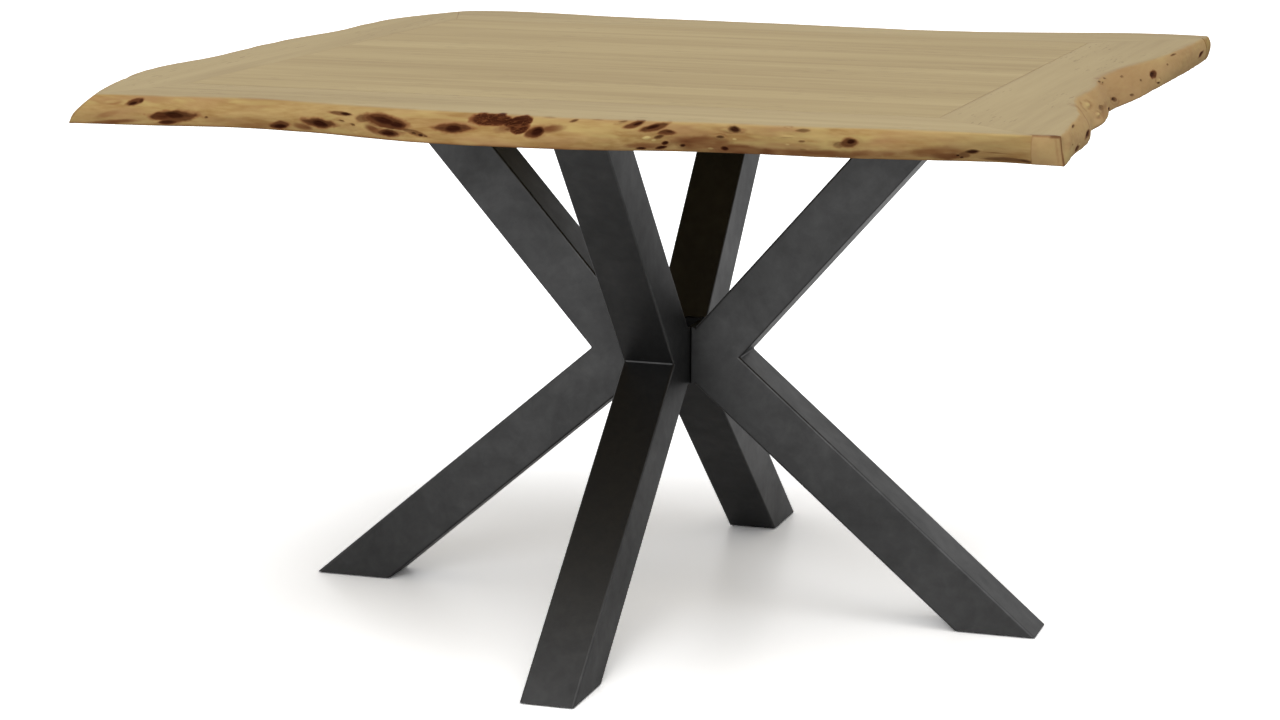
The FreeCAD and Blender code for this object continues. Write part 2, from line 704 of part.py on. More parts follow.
DISC_EDGE = "Sizes.glide_disc_diameter / 2"
STUD_EDGE = "Sizes.glide_stud_diameter / 2"
GLIDE_PROFILE = [
    ("0", "Sizes.glide_pad_height"), (DISC_EDGE, "Sizes.glide_pad_height"),
    (DISC_EDGE, "Layout.disc_top"), (STUD_EDGE, "Layout.disc_top"),
    (STUD_EDGE, "Layout.stud_top"), ("0", "Layout.stud_top"),
]
PAD_EDGE = "Sizes.glide_diameter / 2"
PAD_PROFILE = [
    ("0", "0"), (PAD_EDGE + " - Sizes.glide_pad_chamfer", "0"),
    (PAD_EDGE, "Sizes.glide_pad_chamfer"), (PAD_EDGE, "Sizes.glide_pad_height"),
    ("0", "Sizes.glide_pad_height"),
]

arm_direction = Vector(place("arm_cos"), 0, place("arm_sin"))
leg_direction = Vector(place("leg_cos"), 0, -place("leg_sin"))
for side, degrees in FRAMES.items():
    make_tube(
        "upper_arm_" + side, ARM_OUTLINE, along_arm, "Layout.arm_length", arm_direction, degrees
    )
    make_tube(
        "lower_leg_" + side, LEG_OUTLINE, along_leg, "Layout.leg_length", leg_direction, degrees
    )
    make_hub_plate(side, degrees)
    make_mounting_plate(side, degrees)
    make_sole_plate(side, degrees)
    make_turned("levelling_glide_" + side, GLIDE_PROFILE, degrees)
    make_turned("glide_pad_" + side, PAD_PROFILE, degrees)


def make_knee_welds():
    """The fillet welds in the four knees."""
    body = new_body("knee_welds")
    bead = new_sketch(body, "bead", "XZ_Plane")
    add_polygon(bead, [KNEE, along_leg("Sizes.knee_weld", "0"), along_arm("Sizes.knee_weld", "0")])
    width = "Sizes.tube_width - 2 * Sizes.tube_corner"
    repeat(body, [extrude(body, "Pad", bead, width, symmetric=True)], ())
    turn_about_hub(body)
    return keep(body, "knee_welds")


def make_hub_post():
    """The square hub post, open above and below, with two bores in each side."""
    body = new_body("hub_post")
    height = "Layout.arm_start - Layout.leg_start"

    def square(name, half):
        section = new_sketch(body, name, "XY_Plane", "Layout.leg_start")
        low, high = "-(%s)" % half, half
        add_polygon(section, [(low, low), (high, low), (high, high), (low, high)])
        return section

    def is_upright(edge):
        ends = [vertex.Point for vertex in edge.Vertexes]
        return abs((ends[-1] - ends[0]).normalize().z) > 1 - SAME

    block = extrude(body, "Pad", square("outside", "Sizes.hub_width / 2"), height)
    fillet_edges(body, block, is_upright, "Sizes.hub_corner")
    extrude(body, "Pocket", square("inside", "Layout.hub_inner"), height, reverse=True)
    for plane in ("YZ_Plane", "XZ_Plane"):
        bores = new_sketch(body, "bores_" + plane, plane)
        for sign in ("-", "+"):
            level = "Layout.hub_middle %s Sizes.hub_bolt_pitch / 2" % sign
            add_circle(bores, "0", level, "Layout.hub_bore_radius")
        extrude(body, "Pocket", bores, "2 * Sizes.hub_width", symmetric=True)
    turn_about_hub(body)
    return keep(body, "hub_post")


HUB_BOLT_STEPS = (("Z_Axis", "Sizes.hub_bolt_pitch"),)
LOWER_HUB_BOLT = ("0", "Layout.hub_middle - Sizes.hub_bolt_pitch / 2")


def make_hub_bolts():
    """Socket bolts, screwed outwards from inside the hub post."""
    body = new_body("hub_bolts")
    head = new_sketch(body, "head", "YZ_Plane", "Layout.hub_inner")
    add_circle(head, *LOWER_HUB_BOLT, "Sizes.hub_head_diameter / 2")
    head_pad = extrude(body, "Pad", head, "Sizes.hub_head_height", reverse=True)
    shank = new_sketch(body, "shank", "YZ_Plane", "Layout.hub_inner")
    add_circle(shank, *LOWER_HUB_BOLT, "Sizes.hub_bolt_diameter / 2")
    shank_pad = extrude(body, "Pad", shank, "Sizes.hub_bolt_length")
    face = "Layout.hub_inner - Sizes.hub_head_height"
    socket = new_sketch(body, "socket", "YZ_Plane", face)
    add_hexagon(socket, *LOWER_HUB_BOLT, "Sizes.hub_socket_width")
    socket_cut = extrude(body, "Pocket", socket, "Sizes.hub_socket_depth", reverse=True)
    repeat(body, [head_pad, shank_pad, socket_cut], HUB_BOLT_STEPS)
    turn_about_hub(body)
    return keep(body, "hub_bolts")


def make_hub_nuts():
    """Hexagon nuts welded inside each frame, behind its end plate."""
    body = new_body("hub_nuts")
    face = new_sketch(body, "face", "YZ_Plane", "Layout.frame_start")
    add_hexagon(face, *LOWER_HUB_BOLT, "Sizes.hub_nut_corners")
    add_circle(face, *LOWER_HUB_BOLT, "Sizes.hub_bolt_diameter / 2 + Sizes.thread_clearance")
    repeat(body, [extrude(body, "Pad", face, "Sizes.hub_nut_height")], HUB_BOLT_STEPS)
    turn_about_hub(body)
    return keep(body, "hub_nuts")


def make_top_bolts():
    """Hexagon bolts, up through the mounting plates into the inserts."""
    body = new_body("top_bolts")
    head = new_sketch(body, "head", "XY_Plane", "Layout.head_bottom")
    add_hexagon(head, *FIRST_BOLT, "Sizes.top_head_corners")
    head_pad = extrude(body, "Pad", head, "Sizes.top_head_height")
    shank = new_sketch(body, "shank", "XY_Plane", "Layout.washer_bottom")
    add_circle(shank, *FIRST_BOLT, "Sizes.top_bolt_diameter / 2")
    shank_pad = extrude(body, "Pad", shank, "Sizes.top_bolt_length")
    repeat(body, [head_pad, shank_pad], TOP_BOLT_STEPS)
    turn_about_hub(body)
    return keep(body, "top_bolts")


make_knee_welds()
make_hub_post()
make_hub_bolts()
make_hub_nuts()
make_top_bolts()
keep(
    ring_group(
        "top_washers", "Layout.washer_bottom", "Sizes.washer_thickness",
        "Sizes.washer_diameter / 2", "Layout.mount_hole_radius",
    ),
    "top_washers",
)


def check_and_write():
    """Stops on any failed object or bad shape, then writes one file for each sub-part."""
    doc.recompute()
    for item in doc.Objects:
        if "Invalid" in item.State or "Error" in item.State:
            raise ValueError(item.Label + " failed: " + item.getStatusString())
    for node in nodes:
        if node.Shape.isNull() or not node.Shape.isValid() or not node.Shape.Solids:
            raise ValueError(node.Label + " has no valid solid")
    os.makedirs("parts", exist_ok=True)
    for node in nodes:
        node.Shape.exportStep("parts/%s.step" % node.Label)
        print(node.Label, len(node.Shape.Solids), "solids", round(node.Shape.Volume), "mm3")


check_and_write()
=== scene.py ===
import bpy
import math
import numpy as np
from mathutils import Matrix, Vector


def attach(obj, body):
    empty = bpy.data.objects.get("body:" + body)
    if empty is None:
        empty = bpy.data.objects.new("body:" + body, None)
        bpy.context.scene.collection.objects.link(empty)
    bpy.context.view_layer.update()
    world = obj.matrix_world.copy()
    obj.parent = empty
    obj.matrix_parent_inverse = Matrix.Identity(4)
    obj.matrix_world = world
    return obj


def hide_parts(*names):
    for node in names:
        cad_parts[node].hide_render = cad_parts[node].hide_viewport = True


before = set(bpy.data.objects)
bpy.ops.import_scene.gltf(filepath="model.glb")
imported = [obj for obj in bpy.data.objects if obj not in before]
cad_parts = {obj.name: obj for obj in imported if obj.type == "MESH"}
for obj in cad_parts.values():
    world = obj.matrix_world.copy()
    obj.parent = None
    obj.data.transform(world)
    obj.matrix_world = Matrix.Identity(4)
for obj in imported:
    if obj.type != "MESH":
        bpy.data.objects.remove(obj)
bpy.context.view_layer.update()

# Field of the top: eight solid boards, tongued and glued edge to edge inside the frame.
# Pale brown hardwood with straight grain along X, planed flush and sealed with a matt lacquer.
# The glue lines show as faint threads, and each board differs a little in tone.
field_front, field_board_width, field_boards = -0.447, 0.11175, 8
top_pale = (0.445, 0.34, 0.166, 1)
top_middle = (0.395, 0.296, 0.138, 1)
top_deep = (0.33, 0.238, 0.106, 1)
glue_brown = (0.17, 0.105, 0.045, 1)
pore_brown = (0.13, 0.08, 0.035, 1)


def new_finish(name):
    """An empty procedural finish, with the shader that carries it."""
    finish = bpy.data.materials.new(name)
    finish.use_nodes = True
    return finish, finish.node_tree.nodes["Principled BSDF"]


def feed(finish, node, inputs):
    """Sets a node's inputs, each to a plain value or to the output that feeds it."""
    for key, value in inputs.items():
        if isinstance(value, bpy.types.NodeSocket):
            finish.node_tree.links.new(value, node.inputs[key])
        else:
            node.inputs[key].default_value = value


def step(finish, kind, inputs=None, **settings):
    """Adds one node to a finish, with its settings and inputs."""
    made = finish.node_tree.nodes.new(kind)
    for name, value in settings.items():
        setattr(made, name, value)
    feed(finish, made, inputs or {})
    return made


def object_place(finish):
    """The place on the piece in metres, in the frame that all pieces share."""
    return step(finish, "ShaderNodeTexCoord").outputs["Object"]


def sums(finish, operation, *terms):
    """The result of one sum on numbers."""
    return step(finish, "ShaderNodeMath", dict(enumerate(terms)), operation=operation).outputs[0]


def moved(finish, operation, place, by):
    """A place shifted (ADD) or stretched (MULTIPLY) axis by axis."""
    return step(finish, "ShaderNodeVectorMath", {0: place, 1: by}, operation=operation).outputs[0]


def ranged(finish, value, low, high, first, last):
    """Numbers from low to high turned in proportion into first to last, and held beyond them."""
    inputs = {0: value, 1: low, 2: high, 3: first, 4: last}
    return step(finish, "ShaderNodeMapRange", inputs).outputs[0]


def laid_over(finish, share, under, over):
    """One colour laid over another by a share from 0 to 1."""
    inputs = {0: share, 6: under, 7: over}
    return step(finish, "ShaderNodeMix", inputs, data_type="RGBA").outputs[2]


def noise(finish, place, scale, detail, roughness=0.5, distortion=0.0):
    """Cloudy noise from 0 to 1, with as many finer octaves as the detail says."""
    inputs = {"Vector": place, "Scale": scale, "Detail": detail}
    inputs.update({"Roughness": roughness, "Distortion": distortion})
    return step(finish, "ShaderNodeTexNoise", inputs).outputs[0]


def streaks(finish, place, stretch, detail):
    """Noise drawn out along the grain: the place is stretched before the noise is read."""
    return noise(finish, moved(finish, "MULTIPLY", place, stretch), 1.0, detail, roughness=0.55)


def bumped(finish, height, strength, distance):
    """Fine relief: the surface tilts as the slope of a height pattern."""
    inputs = {"Strength": strength, "Distance": distance, "Height": height}
    return step(finish, "ShaderNodeBump", inputs).outputs[0]


def ramp(finish, share, *stops):
    """A colour ramp through pairs of position and colour."""
    made = step(finish, "ShaderNodeValToRGB", {0: share})
    elements = made.color_ramp.elements
    while len(elements) < len(stops):
        elements.new(0.5)
    for element, (position, colour) in zip(elements, stops):
        element.position, element.color = position, colour
    return made.outputs[0]


def planed_grain(finish, place):
    """Grain of a planed board: broad figure, narrow bands and fine fibres along X, added up.
    The fibres are also given back alone, for the relief."""
    figure = streaks(finish, place, (1.5, 15, 15), 3)
    bands = streaks(finish, place, (2.6, 70, 70), 3)
    fibres = streaks(finish, place, (11, 520, 520), 2)
    mixed = sums(finish, "MULTIPLY_ADD", figure, 0.5, sums(finish, "MULTIPLY", bands, 0.35))
    return sums(finish, "MULTIPLY_ADD", fibres, 0.15, mixed), fibres


def flecked(finish, place, colour):
    """Scarce short pores: the crests of a drawn-out noise, kept where a broad noise is high."""
    crests = ranged(finish, streaks(finish, place, (42, 430, 430), 0), 0.72, 0.79, 0.0, 0.42)
    patches = ranged(finish, streaks(finish, place, (5, 13, 13), 1), 0.48, 0.58, 0.0, 1.0)
    return laid_over(finish, sums(finish, "MULTIPLY", crests, patches), colour, pore_brown)


def put_on(finish, pieces):
    """Gives CAD pieces a finish in place of their plain one."""
    for piece in pieces:
        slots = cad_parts[piece].data.materials
        slots.clear()
        slots.append(finish)


field_wood, lacquer = new_finish("field_wood")
place = object_place(field_wood)
across = step(field_wood, "ShaderNodeSeparateXYZ", {0: place}).outputs["Y"]
inwards = sums(field_wood, "SUBTRACT", across, field_front)
joints = sums(field_wood, "DIVIDE", inwards, field_board_width)
number = sums(field_wood, "FLOOR", joints)
own_log = {"X": sums(field_wood, "MULTIPLY", number, 3.7), "Z": number}
own_log = step(field_wood, "ShaderNodeCombineXYZ", own_log).outputs[0]
own_place = moved(field_wood, "ADD", place, own_log)
grain, fibres = planed_grain(field_wood, own_place)
colour = ramp(field_wood, grain, (0.36, top_deep), (0.5, top_middle), (0.64, top_pale))
tone = step(field_wood, "ShaderNodeTexWhiteNoise", {"W": number}, noise_dimensions="1D").outputs[0]
colour = laid_over(field_wood, sums(field_wood, "MULTIPLY", tone, 0.22), colour, top_deep)
to_joint = sums(field_wood, "PINGPONG", joints, 0.5)
glue_thread = ranged(field_wood, to_joint, 0.0, 0.018, 0.2, 0.0)
colour = laid_over(field_wood, glue_thread, colour, glue_brown)
feed(field_wood, lacquer, {
    "Base Color": flecked(field_wood, own_place, colour),
    "Normal": bumped(field_wood, fibres, 0.12, 0.0003),
    "Roughness": 0.55,
    "Specular IOR Level": 0.1,
})
put_on(field_wood, ["field_board_%d" % board for board in range(1, field_boards + 1)])


# Frame boards: four waney boards round the field, mitred at the corners, grooved for its tongues.
# The outer edge of each is the tree's own edge under the bark: scraped, bulged, full of knots.
# Millimetres from here to the mesh; sides and corners go anticlockwise from the front left.
front, right, back, left = range(4)
side_names = ("front", "right", "back", "left")
table_height, top_thickness, edge_bulge = 750.0, 36.0, 6.0
rough_side = 1200
left_mitre, right_mitre = math.radians(21), math.radians(48)
mean_corners = np.array([(-599.5, -589.0), (625.5, -589.0), (625.5, 575.0), (-599.5, 575.0)])
seam_corners = np.array([(-499.5, -447.0), (475.5, -447.0), (475.5, 447.0), (-499.5, 447.0)])
mitre_ways = np.array([
    (-math.sin(left_mitre), -math.cos(left_mitre)),
    (math.sin(right_mitre), -math.cos(right_mitre)),
    (math.sin(right_mitre), math.cos(right_mitre)),
    (-math.sin(left_mitre), math.cos(left_mitre)),
])
side_ways = np.array([(0.0, -1.0), (1.0, 0.0), (0.0, 1.0), (-1.0, 0.0)])
# How far each corner lies from the mean one: at the top, then at the bottom.
corner_shifts = np.array([
    ((44, -3), (13, -17)), ((18, 29), (21, 41)), ((-5, 37), (-7, 39)), ((60, 6), (40, 12)),
], float)
# Stations of each side: share of its length, then how far the edge stands out at top and bottom.
live_edges = [
    [
        (0.06, -5, 8), (0.115, -11, -2), (0.165, -25, -13), (0.215, -26, -15),
        (0.27, -18, -6), (0.33, -6, 13), (0.39, 2, 28), (0.46, 4, 33),
        (0.54, 12, 26), (0.62, 6, 4), (0.70, -5, -14), (0.78, -8, -18),
        (0.86, -24, -30), (0.93, -24, -44),
    ],
    [
        (0.11, 8, 13), (0.20, -2, 8), (0.285, -27, -7), (0.33, -36, -13),
        (0.385, -36, -14), (0.45, -39, -23), (0.53, -50, -21), (0.59, -49, -15),
        (0.66, -40, -13), (0.76, -22, -10), (0.88, -11, -7),
    ],
    [
        (0.06, 46, 48), (0.12, 35, 38), (0.19, 7, 13), (0.26, -17, -10),
        (0.33, -27, -19), (0.42, -23, -15), (0.52, -11, -4), (0.64, -5, 2),
        (0.74, 2, 8), (0.82, 18, 22), (0.90, 24, 28),
    ],
    [
        (0.075, -22, -6), (0.14, -3, 13), (0.22, 0, 17), (0.32, 0, 17),
        (0.39, 12, 29), (0.47, 15, 32), (0.56, 14, 30), (0.64, 13, 29),
        (0.72, 22, 36), (0.78, 21, 36), (0.85, 7, 28), (0.93, -15, 14),
    ],
]


def spline(points, share):
    """Natural cubic spline: the bends at the points solve the three-banded system of equal slopes,
    and each span is the cubic of its two points and two bends. Share runs along the chords."""
    gaps = np.linalg.norm(np.diff(points, axis=0), axis=1)
    marks = np.concatenate([[0.0], np.cumsum(gaps)])
    bands = np.diag(np.concatenate([[1.0], 2 * (gaps[:-1] + gaps[1:]), [1.0]]))
    bands += np.diag(np.concatenate([[0.0], gaps[1:]]), 1)
    bands += np.diag(np.concatenate([gaps[:-1], [0.0]]), -1)
    slopes = np.diff(points, axis=0) / gaps[:, None]
    bends = np.linalg.solve(bands, np.pad(6 * np.diff(slopes, axis=0), ((1, 1), (0, 0))))
    run = share * marks[-1]
    span = np.clip(np.searchsorted(marks, run, side="right") - 1, 0, len(gaps) - 1)
    gap = gaps[span, None]
    ahead, behind = (marks[span + 1] - run)[:, None], (run - marks[span])[:, None]
    curve = (bends[span] * ahead**3 + bends[span + 1] * behind**3) / (6 * gap)
    curve += (points[span] / gap - bends[span] * gap / 6) * ahead
    return curve + (points[span + 1] / gap - bends[span + 1] * gap / 6) * behind


side_samples = 4000
round_trip = np.linspace(0, 4, 4 * side_samples, endpoint=False)


def edge_line(level):
    """The live edge from above at the bottom (0) or the top (1): on each side a spline
    through its two corners and the stations between them."""
    line = []
    for side, stations in enumerate(live_edges):
        start, end = mean_corners[side], mean_corners[(side + 1) % 4]
        table = np.array(stations, float)
        points = start + (end - start) * table[:, :1] + side_ways[side] * table[:, 2 - level, None]
        first = start + corner_shifts[side, 1 - level]
        last = end + corner_shifts[(side + 1) % 4, 1 - level]
        share = np.arange(side_samples) / side_samples
        line.append(spline(np.vstack([first, points, last]), share))
    return np.concatenate(line)


def softened(line, reach):
    """A closed line averaged with its neighbours by a bell curve of the given reach in samples."""
    steps = np.arange(len(line))
    bell = np.exp(-0.5 * (np.minimum(steps, len(line) - steps) / reach) ** 2)
    weights = np.fft.rfft(bell / bell.sum())[:, None]
    return np.fft.irfft(np.fft.rfft(line, axis=0) * weights, len(line), axis=0)


def at(line, where):
    """Points of a closed line at places counted in sides from the front left."""
    return np.stack([np.interp(where, round_trip, column, period=4) for column in line.T], axis=-1)


def mitre_cut(line, corner):
    """Where a closed line crosses the mitre of a corner: its distance from it changes sign."""
    near = np.linspace(corner - 0.25, corner + 0.25, side_samples + 1)
    offset = at(line, near) - seam_corners[corner]
    way = mitre_ways[corner]
    distance = way[0] * offset[:, 1] - way[1] * offset[:, 0]
    before = np.flatnonzero(np.diff(np.sign(distance)))[0]
    first, second = distance[before], distance[before + 1]
    return near[before] + (near[1] - near[0]) * first / (first - second)


def joint_cut(line, x):
    """Where a closed line comes nearest to a given X near the front right corner."""
    near = slice(3 * side_samples // 4, side_samples)
    return round_trip[near][np.argmin(np.abs(line[near, 0] - x))]


# Three corners stay crisp; the back left one and the edges between are worn round.
crisp_reach, worn_reach, turning_reach = 0.02, 24, 14
top_line, bottom_line = edge_line(1), edge_line(0)
to_corner = np.min([
    round_trip, np.abs(round_trip - right), np.abs(round_trip - back), 4 - round_trip,
], axis=0)
crisp = np.exp(-((to_corner / crisp_reach) ** 2))[:, None]
top_line = top_line * crisp + softened(top_line, worn_reach) * (1 - crisp)
bottom_line = bottom_line * crisp + softened(bottom_line, worn_reach) * (1 - crisp)
middle = softened(top_line + bottom_line, turning_reach)
travel = np.roll(middle, -1, axis=0) - np.roll(middle, 1, axis=0)
outward = np.stack([travel[:, 1], -travel[:, 0]], axis=-1)
outward /= np.linalg.norm(travel, axis=1, keepdims=True)
top_cuts = np.array([mitre_cut(top_line, corner) for corner in range(4)])
bottom_cuts = np.array([mitre_cut(bottom_line, corner) for corner in range(4)])
# The front right joint comes straight down the face, so there it leaves the mitre.
joint_top_x, joint_bottom_x = 611, 608
top_cuts[right] = joint_cut(top_line, joint_top_x)
bottom_cuts[right] = joint_cut(bottom_line, joint_bottom_x)
# The front left joint follows the corner down, so the whole tip belongs to the front board.
bottom_cuts[front] = 0.0


def hills(along, down, length, height, seed):
    """Smooth random hills from -1 to 1: seeded heights on a lattice whose cells have the given
    length and height, blended between neighbours with eased shares."""
    cells = 251
    lattice = np.random.default_rng(seed).uniform(-1, 1, (cells, cells))
    u, v = along / length, down / height
    i, j = np.floor(u).astype(int), np.floor(v).astype(int)
    fu, fv = u - i, v - j
    fu, fv = fu * fu * (3 - 2 * fu), fv * fv * (3 - 2 * fv)
    i, j, next_i, next_j = i % cells, j % cells, (i + 1) % cells, (j + 1) % cells
    near = lattice[i, j] * (1 - fu) + lattice[next_i, j] * fu
    far = lattice[i, next_j] * (1 - fu) + lattice[next_i, next_j] * fu
    return near * (1 - fv) + far * fv


def falling(value, inner, outer):
    """An eased step that is 1 up to the inner value and 0 from the outer one on."""
    share = np.clip((outer - value) / (outer - inner), 0, 1)
    return share * share * (3 - 2 * share)


def about(value, middle, inner, outer):
    """An eased hump: 1 within the inner distance of a middle value and 0 from the outer one on."""
    return falling(np.abs(value - middle), inner, outer)


class EdgeMarks:
    """What the bark left on a live edge, place by place, with painted shade along its lower rim
    and painted light where pale is laid on shaded places: how far it stands out, and how dark,
    brown, red or pale it is. Along and down are millimetres on the face, and past is the way gone
    since the corner where the side starts."""

    def __init__(self, along, down, past, seed):
        self.along, self.down, self.past, self.seed = along, down, past, seed

        def rough(length, height, draw):
            return hills(along, down, length, height, seed + draw)

        self.wobble = 1 + 0.12 * rough(8, 5, 0) + 0.06 * rough(3, 2, 1)
        self.patches = 0.5 + 0.5 * rough(16, 6, 2)
        self.stand = 1.2 * rough(62, 26, 3) + 0.6 * rough(21, 11, 4) + 0.25 * rough(7, 4, 5)
        above = top_thickness - down
        blotches = np.clip(rough(58, 13, 7), 0, 1) + np.clip(rough(23, 6, 8), 0, 1)
        # red blotches of the bark all over; red and brown laid along the lower rim, strongest at
        # the bottom edge, are painted shade
        self.red = 0.16 * blotches + 0.5 * falling(above, 0.8, 5) * (0.5 + 0.5 * self.patches)
        self.brown = 0.5 * falling(above, 0.3, 2.2) * self.patches
        self.dark, self.pale = np.zeros(along.shape), np.zeros(along.shape)

    def tinge(self, **shares):
        """Lays colours on, each by its share, wherever that is more than is there already."""
        for colour, share in shares.items():
            setattr(self, colour, np.maximum(getattr(self, colour), share))

    def oval(self, spot, down, half_length, half_height, tilt=0, power=2.0, bend=0.0):
        """Distance from a mark's middle, 1 at its outline, and the streaks across it.
        The outline is a tilted oval, pointed where the power is low, and its middle line is
        a parabola of the given bend."""
        turn = math.radians(tilt)
        across, below = self.along - spot, self.down - down
        p = across * math.cos(turn) - below * math.sin(turn)
        q = across * math.sin(turn) + below * math.cos(turn) + bend * (p / half_length) ** 2
        r = np.abs(p / half_length) ** power + np.abs(q / half_height) ** power
        r = r ** (1 / power) * self.wobble
        return r, 0.5 + 0.5 * hills(p + 400, q + 40, 9, 1.3, self.seed + 6)

    def hole(self, *oval, depth=2.0, halo=0.9, strength=1.0):
        """A knot that fell out: a pit with a raised lip, black inside, with a brown ring."""
        r, streak = self.oval(*oval)
        self.stand += 0.5 * np.exp(-(((r - 1.3) / 0.25) ** 2)) - depth * falling(r, 0.3, 1.05)
        self.tinge(
            dark=strength * falling(r, 0.5, 1.12) * (0.8 + 0.2 * streak),
            brown=halo * falling(r, 0.95, 1.3),
            red=0.55 * halo * falling(r, 1.1, 1.8),
        )

    def knot(self, *oval, strength=0.9):
        """A sound knot: a shallow brown lens with darker streaks along it and a red border."""
        r, streak = self.oval(*oval)
        inside = falling(r, 0.8, 1.08)
        self.stand -= 0.8 * falling(r, 0.6, 1.05)
        self.tinge(
            brown=strength * inside * (0.72 + 0.28 * streak),
            dark=strength * inside * (0.75 * (1 - streak) ** 2 + 0.3 * falling(r, 0, 0.9)),
            red=0.75 * strength * falling(r, 1.0, 1.35),
        )

    def stain(self, *oval, strength=0.7, depth=0.25):
        """Reddish inner bark that was left on, darker in patches."""
        r, streak = self.oval(*oval)
        share = strength * falling(r, 0.4, 1.25)
        self.tinge(
            red=share * (0.5 + 0.3 * self.patches + 0.2 * streak),
            brown=depth * share * (0.3 + 0.9 * self.patches),
        )

    def ring(self, *oval, strength=0.55):
        """A small overgrown bud: a low round swelling inside a broken brown ring."""
        r, streak = self.oval(*oval)
        band = np.exp(-(((r - 1) / 0.34) ** 2)) * np.clip(1.5 * self.patches - 0.2, 0, 1)
        self.stand += 0.6 * falling(r, 0.1, 0.95) - 0.3 * band
        self.tinge(
            red=0.8 * strength * band,
            brown=0.35 * strength * band * streak,
            pale=0.3 * strength * falling(r, 0.2, 0.9),
        )

    def spot(self, *oval, strength=0.8):
        """A pale yellow spot where the scraper cut through a swelling."""
        r = self.oval(*oval)[0]
        self.stand += 0.7 * falling(r, 0.1, 1.0)
        self.tinge(pale=strength * falling(r, 0.5, 1.1))
        clear = 1 - strength * falling(r, 0.6, 1.1)
        self.red, self.brown = self.red * clear, self.brown * clear

    def burl(self, *oval, strength=0.95):
        """A burl: a dark brown patch with thin worm-like crests, where bent hills cross zero."""
        r, streak = self.oval(*oval)
        inside = falling(r, 0.86, 1.1)
        bent = self.along + 5 * hills(self.along, self.down, 11, 6, 71)
        worms = hills(bent, self.down * 1.25 + 0.25 * bent, 7.5, 2.6, 72)
        crest = about(worms, 0, 0.03, 0.26)
        self.stand += inside * (0.9 * crest - 0.8)
        self.tinge(
            brown=strength * inside * (1 - 0.18 * crest),
            dark=strength * inside * (1 - crest) * (0.25 + 0.75 * streak),
            red=falling(r, 1.0, 1.25),
        )

    def line(self, *oval, strength=0.6):
        """A thin brown line where two layers of bark met."""
        self.tinge(brown=strength * falling(self.oval(*oval)[0], 0.3, 1.2))

    def wane(self, *oval, depth=4.0):
        """A place where the edge falls away under the board: a long hollow."""
        self.stand -= depth * falling(self.oval(*oval)[0], 0.2, 1.2)

    def swell(self, *oval, height=1.0):
        """A round swelling, highest in its middle."""
        self.stand += height * falling(self.oval(*oval)[0], 0.1, 1.0)


live_pale = (0.45, 0.308, 0.127, 1)
live_middle = (0.387, 0.25, 0.0975, 1)
live_deep = (0.304, 0.178, 0.061, 1)
live_yellow = (0.46, 0.342, 0.131, 1)
live_rose = (0.368, 0.216, 0.096, 1)
painted_sheen_white = (0.9, 0.9, 0.9, 1)
pale_spot_and_painted_light = (0.56, 0.43, 0.18, 1)
bark_red = (0.225, 0.088, 0.033, 1)
bark_brown = (0.088, 0.025, 0.008, 1)
knot_black = (0.022, 0.0035, 0.001, 1)


def edge_wood(name, turn, calm, calm_colour):
    """Finish of a frame board: the planed grain on top, with a little painted sheen of white laid
    in, and a warmer blotched one on the live edge.
    Pale spots and painted light, red bark, brown and black of the marks, with some painted shade in
    the red and brown, are laid over by the board's own attributes.
    The turn sets the grain along the board, and calm is the share of an even colour that quiets
    its blotches."""
    finish, lacquer = new_finish(name)
    turned = {"Vector": object_place(finish), "Rotation": (0, 0, turn)}
    place = step(finish, "ShaderNodeMapping", turned).outputs[0]
    marks = step(finish, "ShaderNodeAttribute", attribute_name="marks").outputs["Vector"]
    marks = step(finish, "ShaderNodeSeparateXYZ", {0: marks}).outputs
    edge = step(finish, "ShaderNodeAttribute", attribute_name="edge").outputs["Vector"]
    edge = step(finish, "ShaderNodeSeparateXYZ", {0: edge}).outputs
    bend = step(finish, "ShaderNodeCombineXYZ", {"Y": edge["Y"], "Z": edge["Y"]}).outputs[0]
    place = moved(finish, "ADD", place, bend)
    grain, fibres = planed_grain(finish, place)
    planed = ramp(finish, grain, (0.37, top_deep), (0.515, top_middle), (0.665, top_pale))
    planed = laid_over(finish, 0.5 * calm, planed, top_middle)
    # painted sheen: a little white laid over the planed top's colour
    planed = laid_over(finish, 0.04, planed, painted_sheen_white)
    planed = flecked(finish, place, planed)
    waves = streaks(finish, place, (9, 60, 60), 3)
    scrapes = streaks(finish, place, (38, 230, 230), 3)
    scraped = sums(finish, "MULTIPLY_ADD", waves, 0.45, sums(finish, "MULTIPLY", grain, 0.25))
    scraped = sums(finish, "MULTIPLY_ADD", scrapes, 0.3, scraped)
    live = ramp(finish, scraped, (0.4, live_deep), (0.5, live_middle), (0.6, live_pale))
    blush = ranged(finish, streaks(finish, place, (11, 48, 48), 2), 0.5, 0.66, 0.0, 0.75)
    yellowing = ranged(finish, streaks(finish, place, (14, 75, 75), 2), 0.52, 0.68, 0.0, 0.7)
    live = laid_over(finish, blush, live, live_rose)
    live = laid_over(finish, yellowing, live, live_yellow)
    live = laid_over(finish, calm, live, calm_colour)
    colour = laid_over(finish, edge["X"], planed, live)
    # pale of the spots and burrs, and painted light where pale lifts shaded places
    colour = laid_over(finish, edge["Z"], colour, pale_spot_and_painted_light)
    colour = laid_over(finish, marks["Z"], colour, bark_red)
    colour = laid_over(finish, marks["Y"], colour, bark_brown)
    colour = laid_over(finish, marks["X"], colour, knot_black)
    fine = sums(finish, "MULTIPLY", fibres, 0.4)
    scratched = sums(finish, "MULTIPLY_ADD", scrapes, edge["X"], fine)
    feed(finish, lacquer, {
        "Base Color": colour,
        "Roughness": sums(finish, "MULTIPLY_ADD", edge["X"], 0.28, 0.55),
        "Normal": bumped(finish, scratched, 0.3, 0.0005),
        "Specular IOR Level": 0.04,
    })
    return finish


def placed(name, data):
    """A new object in the scene with its mesh, light or lens."""
    made = bpy.data.objects.new(name, data)
    bpy.context.scene.collection.objects.link(made)
    return made


sharp_from = math.radians(55)


